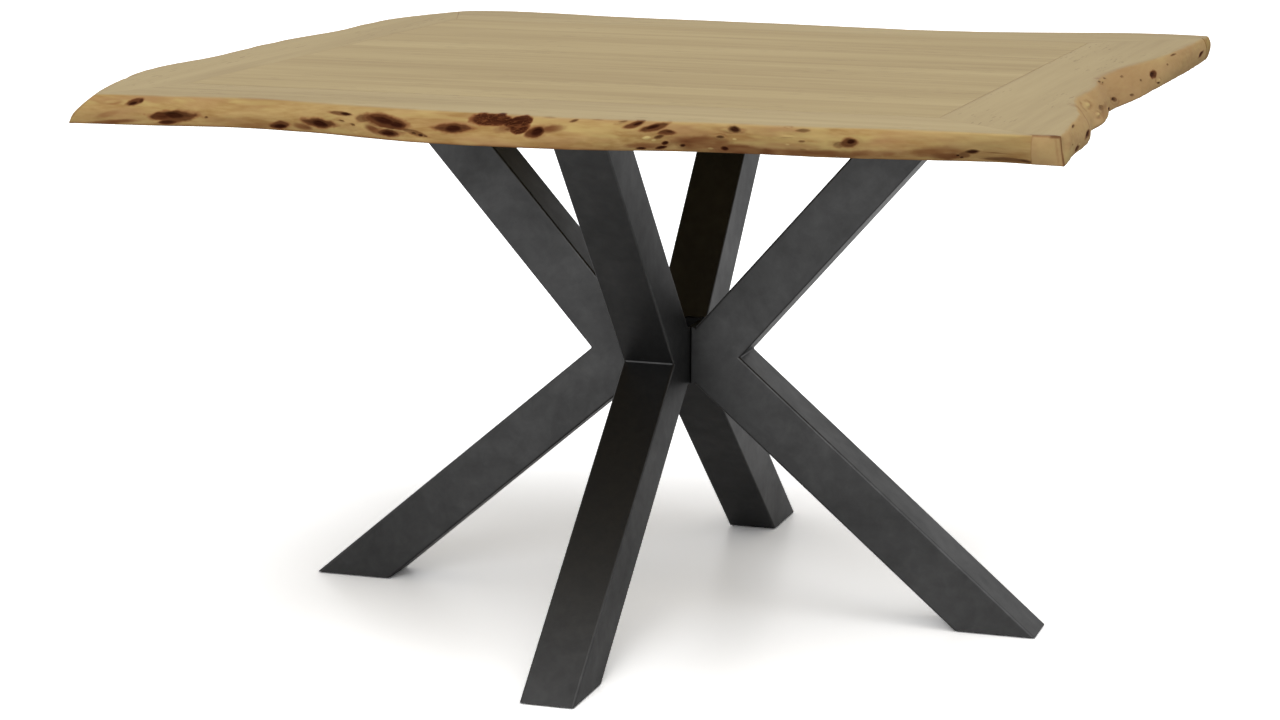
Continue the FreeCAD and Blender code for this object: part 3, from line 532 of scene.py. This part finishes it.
def carried_section(name, section, layers, finish):
    """A closed section carried along a path: neighbouring points make quads, the first and last
    sections close the ends, and each layer is an attribute of the points."""
    count, columns = section.shape[:2]
    place = np.arange(count * columns).reshape(count, columns)
    nexts = np.roll(place, -1, axis=0)
    quads = np.stack([place[:, :-1], nexts[:, :-1], nexts[:, 1:], place[:, 1:]], axis=-1)
    faces = quads.reshape(-1, 4).tolist() + [place[::-1, 0].tolist(), place[:, -1].tolist()]
    mesh = bpy.data.meshes.new(name)
    mesh.from_pydata(section.reshape(-1, 3), [], faces)
    for label, values in layers.items():
        layer = mesh.attributes.new(label, "FLOAT_VECTOR", "POINT")
        layer.data.foreach_set("vector", values.astype(np.float32).ravel())
    mesh.polygons.foreach_set("use_smooth", np.ones(len(mesh.polygons), bool))
    mesh.set_sharp_from_angle(angle=sharp_from)
    mesh.materials.append(finish)
    return placed(name, mesh)


face_rows, rim_rows = 42, 7
planed_steps, planed_shares = (0, 1.2, 6, 12), (0.25, 0.5, 0.75, 0.93)
under_shares = np.linspace(0.9, 0, 5)
groove_depth, groove_bottom, groove_top = 11, 12.9, 23.1
seam_ease, seam_red = 0.2, 0.4
bold_joint, faint_joint = 0.35, 0.1
arris_reach, grain_bend = 0.012, 0.004


def frame_board(side, columns, finish, marked, thread=None):
    """One frame board. Its section is a closed line: over the planed top, round the upper rim,
    down the live edge, round the lower rim, back under the board and round the groove. It is
    carried along the edge from mitre to mitre. Live edge at a height share: bottom to top line
    in proportion, plus a parabola of bulge, plus the bark's marks. The thread gives brown shares
    of the planed rows beside the seam."""
    name = side_names[side]
    following = (side + 1) % 4
    whole_turn = 4 if side == left else 0
    share = np.linspace(0, 1, columns)
    on_top = top_cuts[side] + (top_cuts[following] + whole_turn - top_cuts[side]) * share
    below = bottom_cuts[side] + (bottom_cuts[following] + whole_turn - bottom_cuts[side]) * share
    upper, lower = at(top_line, on_top), at(bottom_line, below)
    away = at(outward, (on_top + below) / 2)
    away /= np.linalg.norm(away, axis=1, keepdims=True)
    seam = seam_corners[side] + (seam_corners[following] - seam_corners[side]) * share[:, None]

    # the live edge with its two rims, quarter circles of uneven radius
    zero = np.zeros(columns)
    along = upper[:, side % 2]
    upper_rim = 2.6 + 0.9 * hills(along, zero, 45, 10, 31 + side)
    lower_rim = 2.0 + 0.7 * hills(along, zero, 55, 10, 41 + side)
    turn = np.linspace(math.pi / 2, 0, rim_rows)[:, None]
    rows = np.linspace(0, 1, face_rows)[1:-1, None]
    upper_level, lower_level = 1 - upper_rim / top_thickness, lower_rim / top_thickness
    level = np.vstack([
        1 - (upper_rim / top_thickness) * (1 - np.sin(turn)),
        upper_level + (lower_level - upper_level) * rows,
        (lower_rim / top_thickness) * (1 - np.sin(turn[::-1])),
    ])
    pull = np.vstack([
        upper_rim * (1 - np.cos(turn)), 0 * rows * zero, lower_rim * (1 - np.cos(turn[::-1])),
    ])
    face = lower + (upper - lower) * level[..., None]
    past = (below + (on_top - below) * level - side) * rough_side
    along = face[..., side % 2].copy()
    if side == right:
        corner_x = mean_corners[right, 0] + corner_shifts[right, 0, 0]
        along -= np.where(past < 0, np.abs(corner_x - face[..., 0]), 0)
    marks = EdgeMarks(along, (1 - level) * top_thickness, past, 100 + 10 * side)
    marked(marks)
    arris = 1 - np.exp(-(((on_top + below) / 2 - right) / arris_reach) ** 2)
    out = (edge_bulge * 4 * level * (1 - level) + marks.stand) * arris - pull
    face = np.dstack([face + away * out[..., None], table_height - top_thickness * (1 - level)])

    # the planed top with its eased seam, the underside and the groove
    width = np.linalg.norm(face[0, :, :2] - seam, axis=1)
    planed = np.vstack([
        np.array(planed_steps)[:, None] / width, np.array(planed_shares)[:, None] + 0 * width,
    ])
    top = seam + (face[0, :, :2] - seam) * planed[..., None]
    top = np.dstack([top, np.full(planed.shape, table_height)])
    top[0, :, 2] -= seam_ease
    underside = table_height - top_thickness
    under = seam + (face[-1, :, :2] - seam) * under_shares[:, None, None]
    under = np.dstack([under, np.full(under.shape[:2], underside)])
    groove_reach = np.array([0, groove_depth, groove_depth, 0])[:, None]
    groove_level = np.array([groove_bottom, groove_bottom, groove_top, groove_top])[:, None]
    inside = seam + (upper - seam) * (groove_reach / width)[..., None]
    inside = np.dstack([inside, np.broadcast_to(underside + groove_level, inside.shape[:2])])
    section = np.concatenate([top, face, under, inside]) * 0.001

    # dark, brown and red of the marks, with their painted shade; then live share, bend of the
    # grain, and pale with its painted light
    seen = len(top) + len(face)
    on_edge = slice(len(top), seen)
    shaded = np.zeros(section.shape)
    shaded[on_edge] = np.dstack([marks.dark, marks.brown, marks.red])
    shaded[0, :, 2] = seam_red
    if thread:
        shaded[:5, :, 1] = thread(seam[:, side % 2])
    joints = (
        faint_joint if side == front else bold_joint,
        faint_joint if side == left else bold_joint,
    )
    shaded[:seen, [0, -1], 2] = np.maximum(shaded[:seen, [0, -1], 2], joints)
    rim = np.cos(turn) ** (2 if side in (front, right) else 8) + 0 * zero
    edge = np.zeros(section.shape)
    edge[on_edge, :, 0] = np.vstack([rim, 1 + 0 * rows * zero, 1 + 0 * turn * zero])
    edge[on_edge, :, 1] = grain_bend * marks.brown
    edge[on_edge, :, 2] = marks.pale

    board = carried_section("live_edge_" + name, section, {"marks": shaded, "edge": edge}, finish)
    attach(board, "table")
    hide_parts("frame_board_" + name)


# Front board: the knottiest edge, cut where the trunk forked, with a burl left of the middle.
# Each mark gives its place along X, its depth below the table surface, half its length and height,
# its tilt in degrees, the power of its outline (pointed below 2) and the bend of its middle line.
wood_along_x = edge_wood("live_edge_wood_along_x", 0, 0.1, live_middle)


def front_marks(m):
    """The marks of the front edge, from left to right."""
    # the tip and the large eye
    m.stain(-537, 23.5, 18, 4, 15, 2, strength=0.55)
    m.stain(-531, 32.5, 40, 3, 5, 2, strength=0.9, depth=0.5)
    m.ring(-536, 8.5, 12, 2.8, 3, 2, strength=0.7)
    m.knot(-503.5, 7.6, 10.5, 3.7, 15, 1.8)
    m.hole(-506, 9.6, 6.5, 2, 12, 1.8, depth=1.2, halo=0.5)
    m.hole(-496, 6.4, 3, 2.4, 10, 1.8, depth=0.6, halo=0.4, strength=0.7)
    m.knot(-451, 23.8, 30, 7.6, 1, 1.4, 1.5)
    m.knot(-466, 23.6, 16, 5.2, 4, 1.7, strength=1.0)
    m.hole(-452, 22.6, 17, 4.8, -4, 1.6, depth=1.4, halo=0.5, strength=0.9)
    m.hole(-460, 31, 11, 2.6, 3, 1.7, depth=1, strength=0.7)
    m.hole(-412, 23.8, 2, 1.2, 0, 2, depth=0.5, halo=0.4, strength=0.6)
    # two eyes above the lower rim
    m.stain(-345, 31.5, 34, 4, 4, 2, strength=0.6)
    m.knot(-312, 29, 14.5, 5, 6, 1.8)
    m.hole(-313, 30.5, 12, 2.8, 5, 1.8, depth=1.2)
    m.stain(-279, 29, 15, 4.5, -6, 2, strength=0.9, depth=0.5)
    m.line(-276, 29, 14, 0.8, -14, 2, strength=0.6)
    m.knot(-256, 23.5, 25, 6, -3, 1.5, 1.5)
    m.hole(-257, 24, 16, 5, -5, 1.7, depth=1.6, halo=0.4)
    m.line(-234, 25, 9, 0.9, 0, 1.6, strength=0.5)
    m.knot(-227, 10, 17, 2.5, -2, 1.5, strength=0.65)
    m.hole(-221, 10.3, 9, 1.9, -3, 1.7, depth=0.8, halo=0.3)
    m.hole(-224, 18, 4.5, 1, -6, 1.8, depth=0.4, halo=0.4, strength=0.5)
    m.hole(-207, 21.2, 3.5, 1.2, -12, 1.8, depth=0.4, halo=0.4, strength=0.6)
    # the great knot with the lens under it and its tail
    m.stain(-162, 17, 44, 9.5, -8, 1.7, strength=1.0, depth=0.4)
    m.stain(-176, 25, 16, 4.5, -18, 2, strength=1.0, depth=0.7)
    m.knot(-192, 12.8, 13, 4.6, 4, 1.9, strength=0.6)
    m.knot(-162, 14.8, 33, 7.2, -8, 1.7, strength=1.0)
    m.spot(-150, 23, 30, 0.9, -4, 2, strength=0.5)
    m.hole(-166, 14.2, 23, 4.2, -8, 1.7, depth=0.9, halo=0.4)
    m.hole(-147, 17.6, 14, 3.6, -5, 1.8, depth=0.9, halo=0.4)
    m.knot(-156, 27.5, 15, 4.2, 0, 1.7)
    m.hole(-157, 28, 12, 3.2, 0, 1.8, depth=1, halo=0.3)
    m.knot(-121, 24.5, 20, 2.8, -11, 1.5, strength=0.6)
    m.hole(-121, 25.5, 4, 1.1, -8, 1.8, depth=0.5, halo=0.2, strength=0.8)
    m.hole(-112, 27.2, 4, 1.5, -8, 1.8, depth=0.6, halo=0.3)
    m.hole(-105, 28, 3, 0.9, -6, 1.8, depth=0.3, halo=0.3, strength=0.8)
    m.knot(-72, 17.2, 27, 5.4, 1, 1.4, strength=0.9)
    m.hole(-72, 18, 14, 4.7, 2, 1.7, depth=1.6, halo=0.3)
    # the burl and the black core with its red end
    m.burl(-27, 6.5, 26, 6.2, 0, 2.4)
    m.burl(10, 6.4, 13.7, 5.4, 6, 2.2)
    m.burl(-3, 8.5, 12, 4.6, -8, 2.0)
    m.stain(2, 14.5, 24, 5, 4, 2, strength=0.9, depth=0.5)
    m.burl(12, 14, 11, 6.2, 10, 1.9)
    m.knot(-2, 15.5, 5, 1.3, 6, 1.8, strength=0.7)
    m.stain(52, 12.5, 17, 4.6, 8, 1.8, strength=1.0, depth=0.8)
    m.line(50, 15, 14, 0.9, 8, 1.8, strength=0.5)
    m.knot(31, 17.4, 11, 5.6, 14, 2, strength=1.0)
    m.hole(34, 17, 9, 5.4, 17, 1.9, depth=2.8, halo=0.9)
    m.line(45, 0.8, 10, 0.9, 0, 2, strength=0.35)
    m.hole(77, 2.8, 4.8, 1.3, 14, 1.7, depth=0.5, halo=0.5, strength=0.6)
    m.line(105, 0.8, 8, 0.8, 0, 2, strength=0.35)
    # three leaves over a knot of buds
    m.stain(168, 29, 32, 5, 2, 2, strength=0.9, depth=0.45)
    m.ring(133, 2.6, 6.5, 1.6, 14, 1.8, strength=0.5)
    m.hole(136, 1.5, 5, 0.7, 8, 1.8, depth=0.3, halo=0.4, strength=0.5)
    m.knot(149, 5, 13.3, 3.3, 18, 1.6, 1)
    m.hole(153, 3.8, 7.5, 1.9, 18, 1.7, depth=0.8, halo=0.3)
    m.knot(173, 7.4, 17.3, 4.2, 14, 1.6, 1)
    m.hole(171, 7, 10.6, 2.3, 15, 1.7, depth=1, halo=0.3)
    m.knot(187, 12, 11, 3.2, 4, 1.7, -1.5)
    m.hole(190, 11.8, 5, 1.4, -4, 1.7, depth=0.6, halo=0.3, strength=0.7)
    m.spot(164, 19.2, 5.5, 2.2, 8, 1.8, strength=0.9)
    m.spot(172, 22, 3.3, 1.7, 8, 1.8, strength=0.7)
    m.hole(178, 18, 5.6, 2, 16, 1.8, depth=0.8, halo=0.6, strength=0.55)
    m.hole(185, 25.2, 4, 2.1, 18, 1.9, depth=1.2)
    m.hole(157, 32.2, 6, 1.5, 2, 1.8, depth=0.8)
    m.hole(180, 30.8, 6.2, 1.9, 12, 1.8, depth=1)
    # the bruised patch and the bark along the lower rim
    m.stain(228, 24, 40, 11, 0, 2.4, strength=1.0, depth=0.5)
    m.stain(222, 21, 24, 6, 6, 2, strength=1.0, depth=0.6)
    m.stain(330, 32, 150, 5.5, 1, 2.4, strength=1.0, depth=0.55)
    m.stain(275, 29.5, 36, 5.5, -4, 2, strength=1.0, depth=0.6)
    m.ring(204, 29, 8.4, 4.4, 3, 2, strength=0.5)
    m.hole(205, 27.8, 3.7, 2.1, 4, 2, depth=1, halo=0.6)
    m.ring(250, 16.6, 9.2, 4.3, -4, 1.8, strength=0.8)
    m.hole(250, 16, 5, 1.8, 0, 1.9, depth=0.8, halo=0.6, strength=0.7)
    m.hole(254, 30, 4.2, 2.8, 0, 1.9, depth=1.2)
    m.spot(237, 30.5, 4, 1.5, 0, 2, strength=0.5)
    m.spot(267, 18, 3.5, 1.4, 0, 2, strength=0.6)
    m.ring(262, 7.6, 17.5, 3.6, -1, 1.5, strength=0.7)
    m.hole(267, 6.8, 7.6, 3.7, -8, 1.7, depth=1.6, halo=0.6)
    # faint buds and the ringed knot
    m.ring(331, 1.2, 5, 0.9, 3, 2, strength=0.5)
    m.hole(348, 4.5, 7.6, 1.8, 3, 1.7, depth=0.4, halo=0.5, strength=0.3)
    m.ring(330, 12.4, 11.7, 2.7, 1, 1.8, strength=0.45)
    m.line(330, 13.2, 8, 0.7, 2, 1.8, strength=0.4)
    m.hole(347, 16.8, 3.4, 1.1, 4, 1.9, depth=0.3, halo=0.5, strength=0.25)
    m.spot(330, 21.5, 3, 1.1, 0, 2, strength=0.5)
    m.line(348, 26.8, 4.7, 1.5, 3, 2, strength=0.5)
    m.ring(398, 17, 14, 8, 6, 2, strength=0.45)
    m.knot(389, 19.5, 7, 4, 12, 1.8, strength=0.45)
    m.knot(401, 16.8, 10, 5.6, 6, 1.9)
    m.hole(403, 15.8, 5.5, 3, 7, 1.8, depth=1.8, halo=0.4)
    m.stain(444, 29.5, 12, 3.4, 3, 2, strength=0.8)
    m.stain(500, 25, 40, 8.5, 4, 2, strength=0.8, depth=0.35)
    # the split knot and the waney end, with painted light above it where the face turns down
    m.tinge(pale=0.32 * about(m.along, 556, 24, 52) * falling(m.down, 15, 25))
    m.stain(511, 29.5, 22, 5.5, 1, 2, strength=1.0, depth=0.8)
    m.knot(530, 27.5, 9, 4, 14, 1.8, strength=0.6)
    m.hole(541, 22.8, 9.2, 2.6, 7, 1.7, depth=1.4, halo=0.5)
    m.hole(524, 28.2, 2.2, 1.5, 8, 2, depth=0.8, halo=0.5)
    m.hole(528, 30.5, 3, 1.4, 10, 2, depth=0.8, halo=0.5)
    m.stain(585, 11, 26, 7, 0, 2, strength=0.4, depth=0)
    m.wane(580, 34, 40, 6, -3, 2, depth=3)
    m.line(568, 23, 21, 0.9, -2, 2, strength=0.45)
    m.knot(580, 31.5, 29, 3.4, 0, 1.6, strength=0.6)
    m.hole(601, 32, 7.5, 2, -6, 1.8, depth=0.6, halo=0.5, strength=0.6)


frame_board(front, 1100, wood_along_x, front_marks)


# Right board: a ripple runs down its edge, with two pale burrs beside a hollow.
# Its front end shows as a small sawn block beyond the mitre, with a dark line down the arris.
# The marks are given as on the front board, with their places along Y.
# painted light: the side boards' even tan is paler than the front's, making up for the weaker light
# on their faces; it also quiets their blotches
calm_tan_with_painted_light = (0.495, 0.333, 0.159, 1)
wood_along_y = edge_wood("live_edge_wood_along_y", math.pi / 2, 0.65, calm_tan_with_painted_light)


def right_marks(m):
    """The marks of the right edge, from the front to the back."""
    # the sawn block with its bruised top, and the line down the arris
    block, above = falling(m.past, -3, 0), top_thickness - m.down
    m.stand *= 1 - 0.85 * block
    m.red, m.brown = m.red * (0.6 - 0.4 * block), m.brown * (1 - 0.5 * block)
    m.tinge(red=0.12 * block)
    m.tinge(red=0.35 * about(m.past, -1, 0.6, 3.4))
    m.tinge(red=0.3 * about(m.past, -6.5, 0.5, 2.6))
    m.tinge(brown=0.9 * about(m.past, -0.3, 0.5, 2.0) * (0.7 + 0.3 * m.patches))
    m.tinge(red=0.4 * falling(m.down, 1, 5) * about(m.past, -8, 4, 12))
    m.tinge(brown=0.75 * falling(m.down, 0.8, 3.8) * about(m.past, -6, 4, 10))
    m.tinge(red=0.5 * falling(m.down, 0.5, 3.5) * block)
    m.tinge(brown=0.25 * falling(m.down, 0.5, 3) * block)
    # painted light: pale laid on the middle of the block's face, lifting its shade
    m.tinge(pale=0.2 * about(m.past, -18, 7, 13) * about(m.down, 19, 6, 13))
    # the rosy middle, painted light on the lower face beside the front corner, lifting its shade,
    # and the swelling under the burrs
    m.tinge(red=0.26 * about(m.along, 80, 60, 230))
    corner = falling(-m.past, -8, 0) * about(m.along, -535, 25, 65)
    m.tinge(pale=0.45 * corner * falling(above, 12, 24))
    m.stand += 3.5 * about(m.along, -135, 45, 100) * falling(above, 3, 12)
    # the slits of the front third
    m.hole(-505, 16.3, 4, 0.9, -5, 2, depth=0.4, halo=0.4, strength=0.6)
    m.knot(-454, 27.2, 18, 3.6, -1, 1.8, strength=0.7)
    m.hole(-457, 27.6, 12, 2.6, -1, 1.8, depth=1.4)
    m.spot(-440, 24.8, 9, 1.6, -5, 1.8, strength=0.7)
    m.hole(-449, 2.6, 12, 1.1, 0, 1.8, depth=0.6, halo=0.5, strength=0.8)
    m.knot(-374, 21, 26, 4, 3, 1.7, strength=0.6)
    m.hole(-373, 21.3, 21, 2.4, 3, 1.7, depth=1.6)
    m.stain(-300, 12, 60, 8, 20, 2, strength=0.4)
    # the two burrs and the hollow behind them
    m.ring(-196, 9.6, 29, 4.6, 0, 2, strength=0.55)
    m.spot(-186, 9.6, 15, 2.6, 0, 2, strength=0.5)
    m.ring(-173, 23.2, 19, 3.9, -2, 2, strength=0.55)
    m.spot(-166, 23.2, 11, 2.3, -2, 2, strength=0.5)
    m.swell(-190, 9.6, 22, 4, height=1.0)
    m.swell(-170, 23.2, 15, 3.2, height=0.8)
    m.knot(-128, 20.2, 22, 3.4, -3, 1.9, strength=0.4)
    m.stain(-110, 25, 60, 7, 4, 2, strength=0.5)
    m.hole(-58, 30.5, 15, 2.4, -4, 1.8, depth=1.2)
    # the ringed knots and small holes of the back half
    m.ring(-2, 25.9, 24, 5.2, -2, 2, strength=0.7)
    m.knot(-2, 24, 18, 3, -4, 1.8, strength=0.7)
    m.hole(-6, 23.4, 9, 1.7, -4, 1.8, depth=1, halo=0.4)
    m.ring(14, 2.6, 30, 2.6, 0, 2, strength=0.6)
    m.hole(-6, 1.4, 7.7, 0.9, 0, 1.9, depth=0.5, halo=0.3, strength=0.8)
    m.hole(5, 3.8, 7.4, 0.9, 0, 1.9, depth=0.5, halo=0.3, strength=0.8)
    m.hole(40, 2.2, 6.4, 0.9, 0, 1.9, depth=0.5, halo=0.3, strength=0.8)
    m.hole(110, 7, 6.7, 1, 3, 2, depth=0.3, halo=0.4, strength=0.3)
    m.hole(165, 17.3, 5.8, 1.2, 3, 2, depth=0.3, halo=0.5, strength=0.4)
    m.hole(87, 28.1, 8.4, 1.6, -2, 2, depth=0.4, halo=0.5, strength=0.5)
    m.knot(229, 16, 17, 4.4, 5, 1.9, strength=0.95)
    m.hole(226, 16.3, 11, 3, 5, 1.9, depth=1.6, halo=0.4)
    m.ring(241, 25.9, 12.4, 3.8, -2, 2, strength=0.6)
    m.spot(246, 25, 6, 1.8, -2, 2, strength=0.6)
    m.hole(238, 28.3, 6.5, 1.4, -4, 1.9, depth=0.6, halo=0.4)
    m.hole(312, 11, 4.5, 1.1, 2, 2, depth=0.3, halo=0.4, strength=0.4)
    m.knot(365, 3.1, 18, 1.1, 0, 1.7, strength=0.5)
    m.hole(528, 18, 17, 2.6, 7, 1.5, depth=1.4, strength=0.9)
    m.stain(440, 28, 120, 6, 0, 2, strength=0.12, depth=0)


def right_thread(along):
    """A faint brown thread on the two rows next to the seam, in the front half of the board."""
    return 0.2 * about(along, -170, 180, 330) * np.array([[1], [1], [0], [0], [0]])


frame_board(right, 1000, wood_along_y, right_marks, right_thread)


# Back board: the straightest edge, hollowed in the middle where the trunk drew in.
# Its knots are spread along the whole length.
back_knots = (-470, -365, -250, -120, 5, 96, 230, 350, 505)


def scattered_marks(m, spots, seed):
    """A knot with its hole, a bark stain and a bud round each given place along an edge.
    Depths, sizes and tilts are drawn by the seed between those on the front board."""
    lot = np.random.default_rng(seed)
    for spot in spots:
        down, reach, tilt = lot.uniform(7, 29), lot.uniform(8, 22), lot.uniform(-20, 20)
        stain_spot, stain_down = spot + lot.uniform(-30, 30), lot.uniform(22, 34)
        m.stain(stain_spot, stain_down, 2.4 * reach, lot.uniform(5, 8), 0.3 * tilt, 2)
        m.knot(spot, down, reach, 0.34 * reach, tilt, 1.6)
        m.hole(spot + 0.1 * reach, down + 0.5, 0.5 * reach, 0.2 * reach, tilt, 1.8)
        m.ring(spot + 2.2 * reach, lot.uniform(8, 28), lot.uniform(5, 10), lot.uniform(3, 5))


frame_board(back, 620, wood_along_x, lambda m: scattered_marks(m, back_knots, 7))


# Left board: the narrow one, its edge sloping out towards the floor.
# It ends in a long sharp tip at the front left corner, with a dark thread of grain near its seam.
left_knots = (-520, -410, -270, -150, -60, 70, 190, 330, 470)


def left_thread(along):
    """A dark thread of grain in the front third of the board, strongest 12 mm from the seam."""
    return 0.15 * falling(along, -300, -150) * np.array([[0], [0.4], [0.9], [1], [0.4]])


frame_board(left, 620, wood_along_y, lambda m: scattered_marks(m, left_knots, 8), left_thread)


# Mitre splines: four thin loose slips of hardwood glued into slots across the mitres, out of sight.
# Sawn and planed, left without lacquer.
spline_deep, spline_pale = (0.3, 0.19, 0.085, 1), (0.42, 0.29, 0.14, 1)
spline_wood, bare = new_finish("spline_wood")
grain = planed_grain(spline_wood, object_place(spline_wood))[0]
feed(spline_wood, bare, {
    "Base Color": ramp(spline_wood, grain, (0.36, spline_deep), (0.64, spline_pale)),
    "Roughness": 0.7,
    "Specular IOR Level": 0.3,
})
put_on(spline_wood, ["mitre_splines"])


# Base: four frames of square steel tube, each an arm and a leg mitred and welded at the knee.
# Plates are welded to their ends, and the four stand back to back, bolted to a short hub post.
# The steel has a near-black satin finish, cloudy and slightly uneven.
steel_deep = (0.047, 0.047, 0.0472, 1)
steel_middle = (0.058, 0.058, 0.0582, 1)
steel_pale = (0.074, 0.074, 0.0742, 1)
steel_rim_light = (0.76, 0.76, 0.76, 1)
base_steel, coat = new_finish("base_steel")
place = object_place(base_steel)
clouds = noise(base_steel, place, 9.0, 5.0, roughness=0.6, distortion=0.6)
wisps = noise(base_steel, place, 42.0, 4.0, roughness=0.65, distortion=0.4)
grit = noise(base_steel, place, 900.0, 2.0)
mottle = sums(base_steel, "MULTIPLY_ADD", clouds, 0.65, sums(base_steel, "MULTIPLY", wisps, 0.35))
stops = (0.36, steel_deep), (0.5, steel_middle), (0.66, steel_pale)
feed(base_steel, coat, {
    "Base Color": ramp(base_steel, mottle, *stops),
    "Roughness": ranged(base_steel, mottle, 0.35, 0.65, 0.44, 0.36),
    "Normal": bumped(base_steel, grit, 0.08, 0.0002),
    "Metallic": 1.0,
    "Specular Tint": steel_rim_light,
})
put_on(base_steel, ["knee_welds", "hub_post"] + [
    piece + "_" + side
    for piece in ("upper_arm", "lower_leg", "hub_plate", "mounting_plate", "sole_plate")
    for side in side_names
])


# Fasteners: bolts, washers and inserts under the top, bolts and nuts in the hub, and the glides.
# Bright zinc on steel, dulled in cloudy patches by handling.
zinc_dull, zinc_bright = (0.36, 0.37, 0.39, 1), (0.52, 0.53, 0.55, 1)
zinc, plating = new_finish("fastener_zinc")
dulling = noise(zinc, object_place(zinc), 160.0, 4.0)
feed(zinc, plating, {
    "Base Color": ramp(zinc, dulling, (0.35, zinc_dull), (0.65, zinc_bright)),
    "Roughness": ranged(zinc, dulling, 0.3, 0.7, 0.48, 0.28),
    "Metallic": 1.0,
})
put_on(zinc, ["hub_bolts", "hub_nuts", "top_bolts", "top_washers", "top_inserts"])
put_on(zinc, ["levelling_glide_" + side for side in side_names])


# Glide pads: turned discs of black plastic pressed on the glides, all that touches the floor.
# Fine moulded grain, slightly scuffed.
pad_black, pad_scuffed = (0.012, 0.012, 0.012, 1), (0.03, 0.03, 0.031, 1)
pad_plastic, moulding = new_finish("glide_plastic")
place = object_place(pad_plastic)
sparks = noise(pad_plastic, place, 1400.0, 2.0)
scuffs = noise(pad_plastic, place, 90.0, 5.0)
feed(pad_plastic, moulding, {
    "Base Color": ramp(pad_plastic, scuffs, (0.4, pad_black), (0.7, pad_scuffed)),
    "Normal": bumped(pad_plastic, sparks, 0.3, 0.0001),
    "Roughness": 0.55,
})
put_on(pad_plastic, ["glide_pad_" + side for side in side_names])


# Studio floor: a wide smooth white sheet that keeps the soft shadow and a blurred reflection.
# The camera sees it bleached white; what it throws back on the table is a plain mid grey.
reach = 30
corners = [(-reach, -reach, 0), (reach, -reach, 0), (reach, reach, 0), (-reach, reach, 0)]
sheet_grey, sheet_white = (0.93, 0.93, 0.93, 1), (0.95, 0.95, 0.95, 1)
thrown_grey, bleaching = (0.5, 0.5, 0.5, 1), 0.84


def seen_directly(finish):
    """1 where the camera looks, straight on, through a piece or in its reflections, and 0 for
    light that is thrown on: the greatest of the three kinds of ray."""
    rays = step(finish, "ShaderNodeLightPath").outputs
    direct = sums(finish, "MAXIMUM", rays["Is Camera Ray"], rays["Is Glossy Ray"])
    return sums(finish, "MAXIMUM", direct, rays["Is Transmission Ray"])


floor_mesh = bpy.data.meshes.new("studio_floor")
floor_mesh.from_pydata(corners, [], [(0, 1, 2, 3)])
floor = placed("studio_floor", floor_mesh)
floor_white, sheet = new_finish("floor_white")
cloudy = step(floor_white, "ShaderNodeTexNoise", {"Scale": 0.6, "Detail": 1.0}).outputs[0]
feed(floor_white, sheet, {
    "Base Color": ramp(floor_white, cloudy, (0.3, sheet_grey), (0.7, sheet_white)),
    "Roughness": 0.35,
    "Specular IOR Level": 0.2,
})
camera_rays = step(floor_white, "ShaderNodeLightPath").outputs["Is Camera Ray"]
bleach = sums(floor_white, "MULTIPLY", camera_rays, bleaching)
bleach = step(floor_white, "ShaderNodeBsdfDiffuse", {"Color": bleach}).outputs[0]
seen = step(floor_white, "ShaderNodeAddShader", {0: sheet.outputs[0], 1: bleach}).outputs[0]
thrown = step(floor_white, "ShaderNodeBsdfDiffuse", {"Color": thrown_grey}).outputs[0]
either = {0: seen_directly(floor_white), 1: thrown, 2: seen}
either = step(floor_white, "ShaderNodeMixShader", either).outputs[0]
feed(floor_white, floor_white.node_tree.nodes["Material Output"], {"Surface": either})
floor_mesh.materials.append(floor_white)


# Studio light: an even white room, a wide soft light from above and a large soft lamp in front.
# The room is plain white to the camera and in reflections.
white = (1, 1, 1, 1)
world = bpy.data.worlds.new("studio_room")
bpy.context.scene.world = world
world.use_nodes = True
dim_room = world.node_tree.nodes["Background"]
feed(world, dim_room, {"Color": white, "Strength": 0.42})
white_room = step(world, "ShaderNodeBackground", {"Color": white, "Strength": 1.0})
either = {0: seen_directly(world), 1: dim_room.outputs[0], 2: white_room.outputs[0]}
either = step(world, "ShaderNodeMixShader", either).outputs[0]
feed(world, world.node_tree.nodes["World Output"], {"Surface": either})

overhead_data = bpy.data.lights.new("overhead_light", "SUN")
overhead_data.energy, overhead_data.angle = 0.5 * math.pi, math.radians(60)
overhead = placed("overhead_light", overhead_data)
overhead.rotation_euler = (math.radians(22), 0, math.radians(45))
lamp_data = bpy.data.lights.new("front_lamp", "AREA")
lamp_data.shape, lamp_data.size, lamp_data.energy = "DISK", 2.6, 50
lamp = placed("front_lamp", lamp_data)
lamp.location = (0.5, -3.8, 1.9)
lamp_aim = Vector((0, 0, 0.5)) - lamp.location
lamp.rotation_euler = lamp_aim.to_track_quat("-Z", "Y").to_euler()


# Camera: stands to the right of the front, a little above the top, with a long lens.
# Yaw, pitch and roll are in degrees, the focal length in pixels of the picture's width.
picture_width, film_width, focal = 1280, 36, 3193.2
stand = Vector((1.3528, -4.0838, 1.2260))
yaw, pitch, roll = (math.radians(degrees) for degrees in (-18.926, -11.643, 0.22))
ahead = Vector((math.sin(yaw) * math.cos(pitch), math.cos(yaw) * math.cos(pitch), math.sin(pitch)))
level_right = Vector((math.cos(yaw), -math.sin(yaw), 0))
level_up = level_right.cross(ahead)
tilted_right = level_right * math.cos(roll) + level_up * math.sin(roll)
tilted_up = level_up * math.cos(roll) - level_right * math.sin(roll)
turned = Matrix((tilted_right, tilted_up, -ahead)).transposed().to_4x4()
camera_data = bpy.data.cameras.new("camera")
camera_data.sensor_width = film_width
camera_data.lens = focal / picture_width * film_width
camera = placed("camera", camera_data)
camera.matrix_world = Matrix.Translation(stand) @ turned
bpy.context.scene.camera = camera
bpy.context.scene.view_settings.view_transform = "Standard"
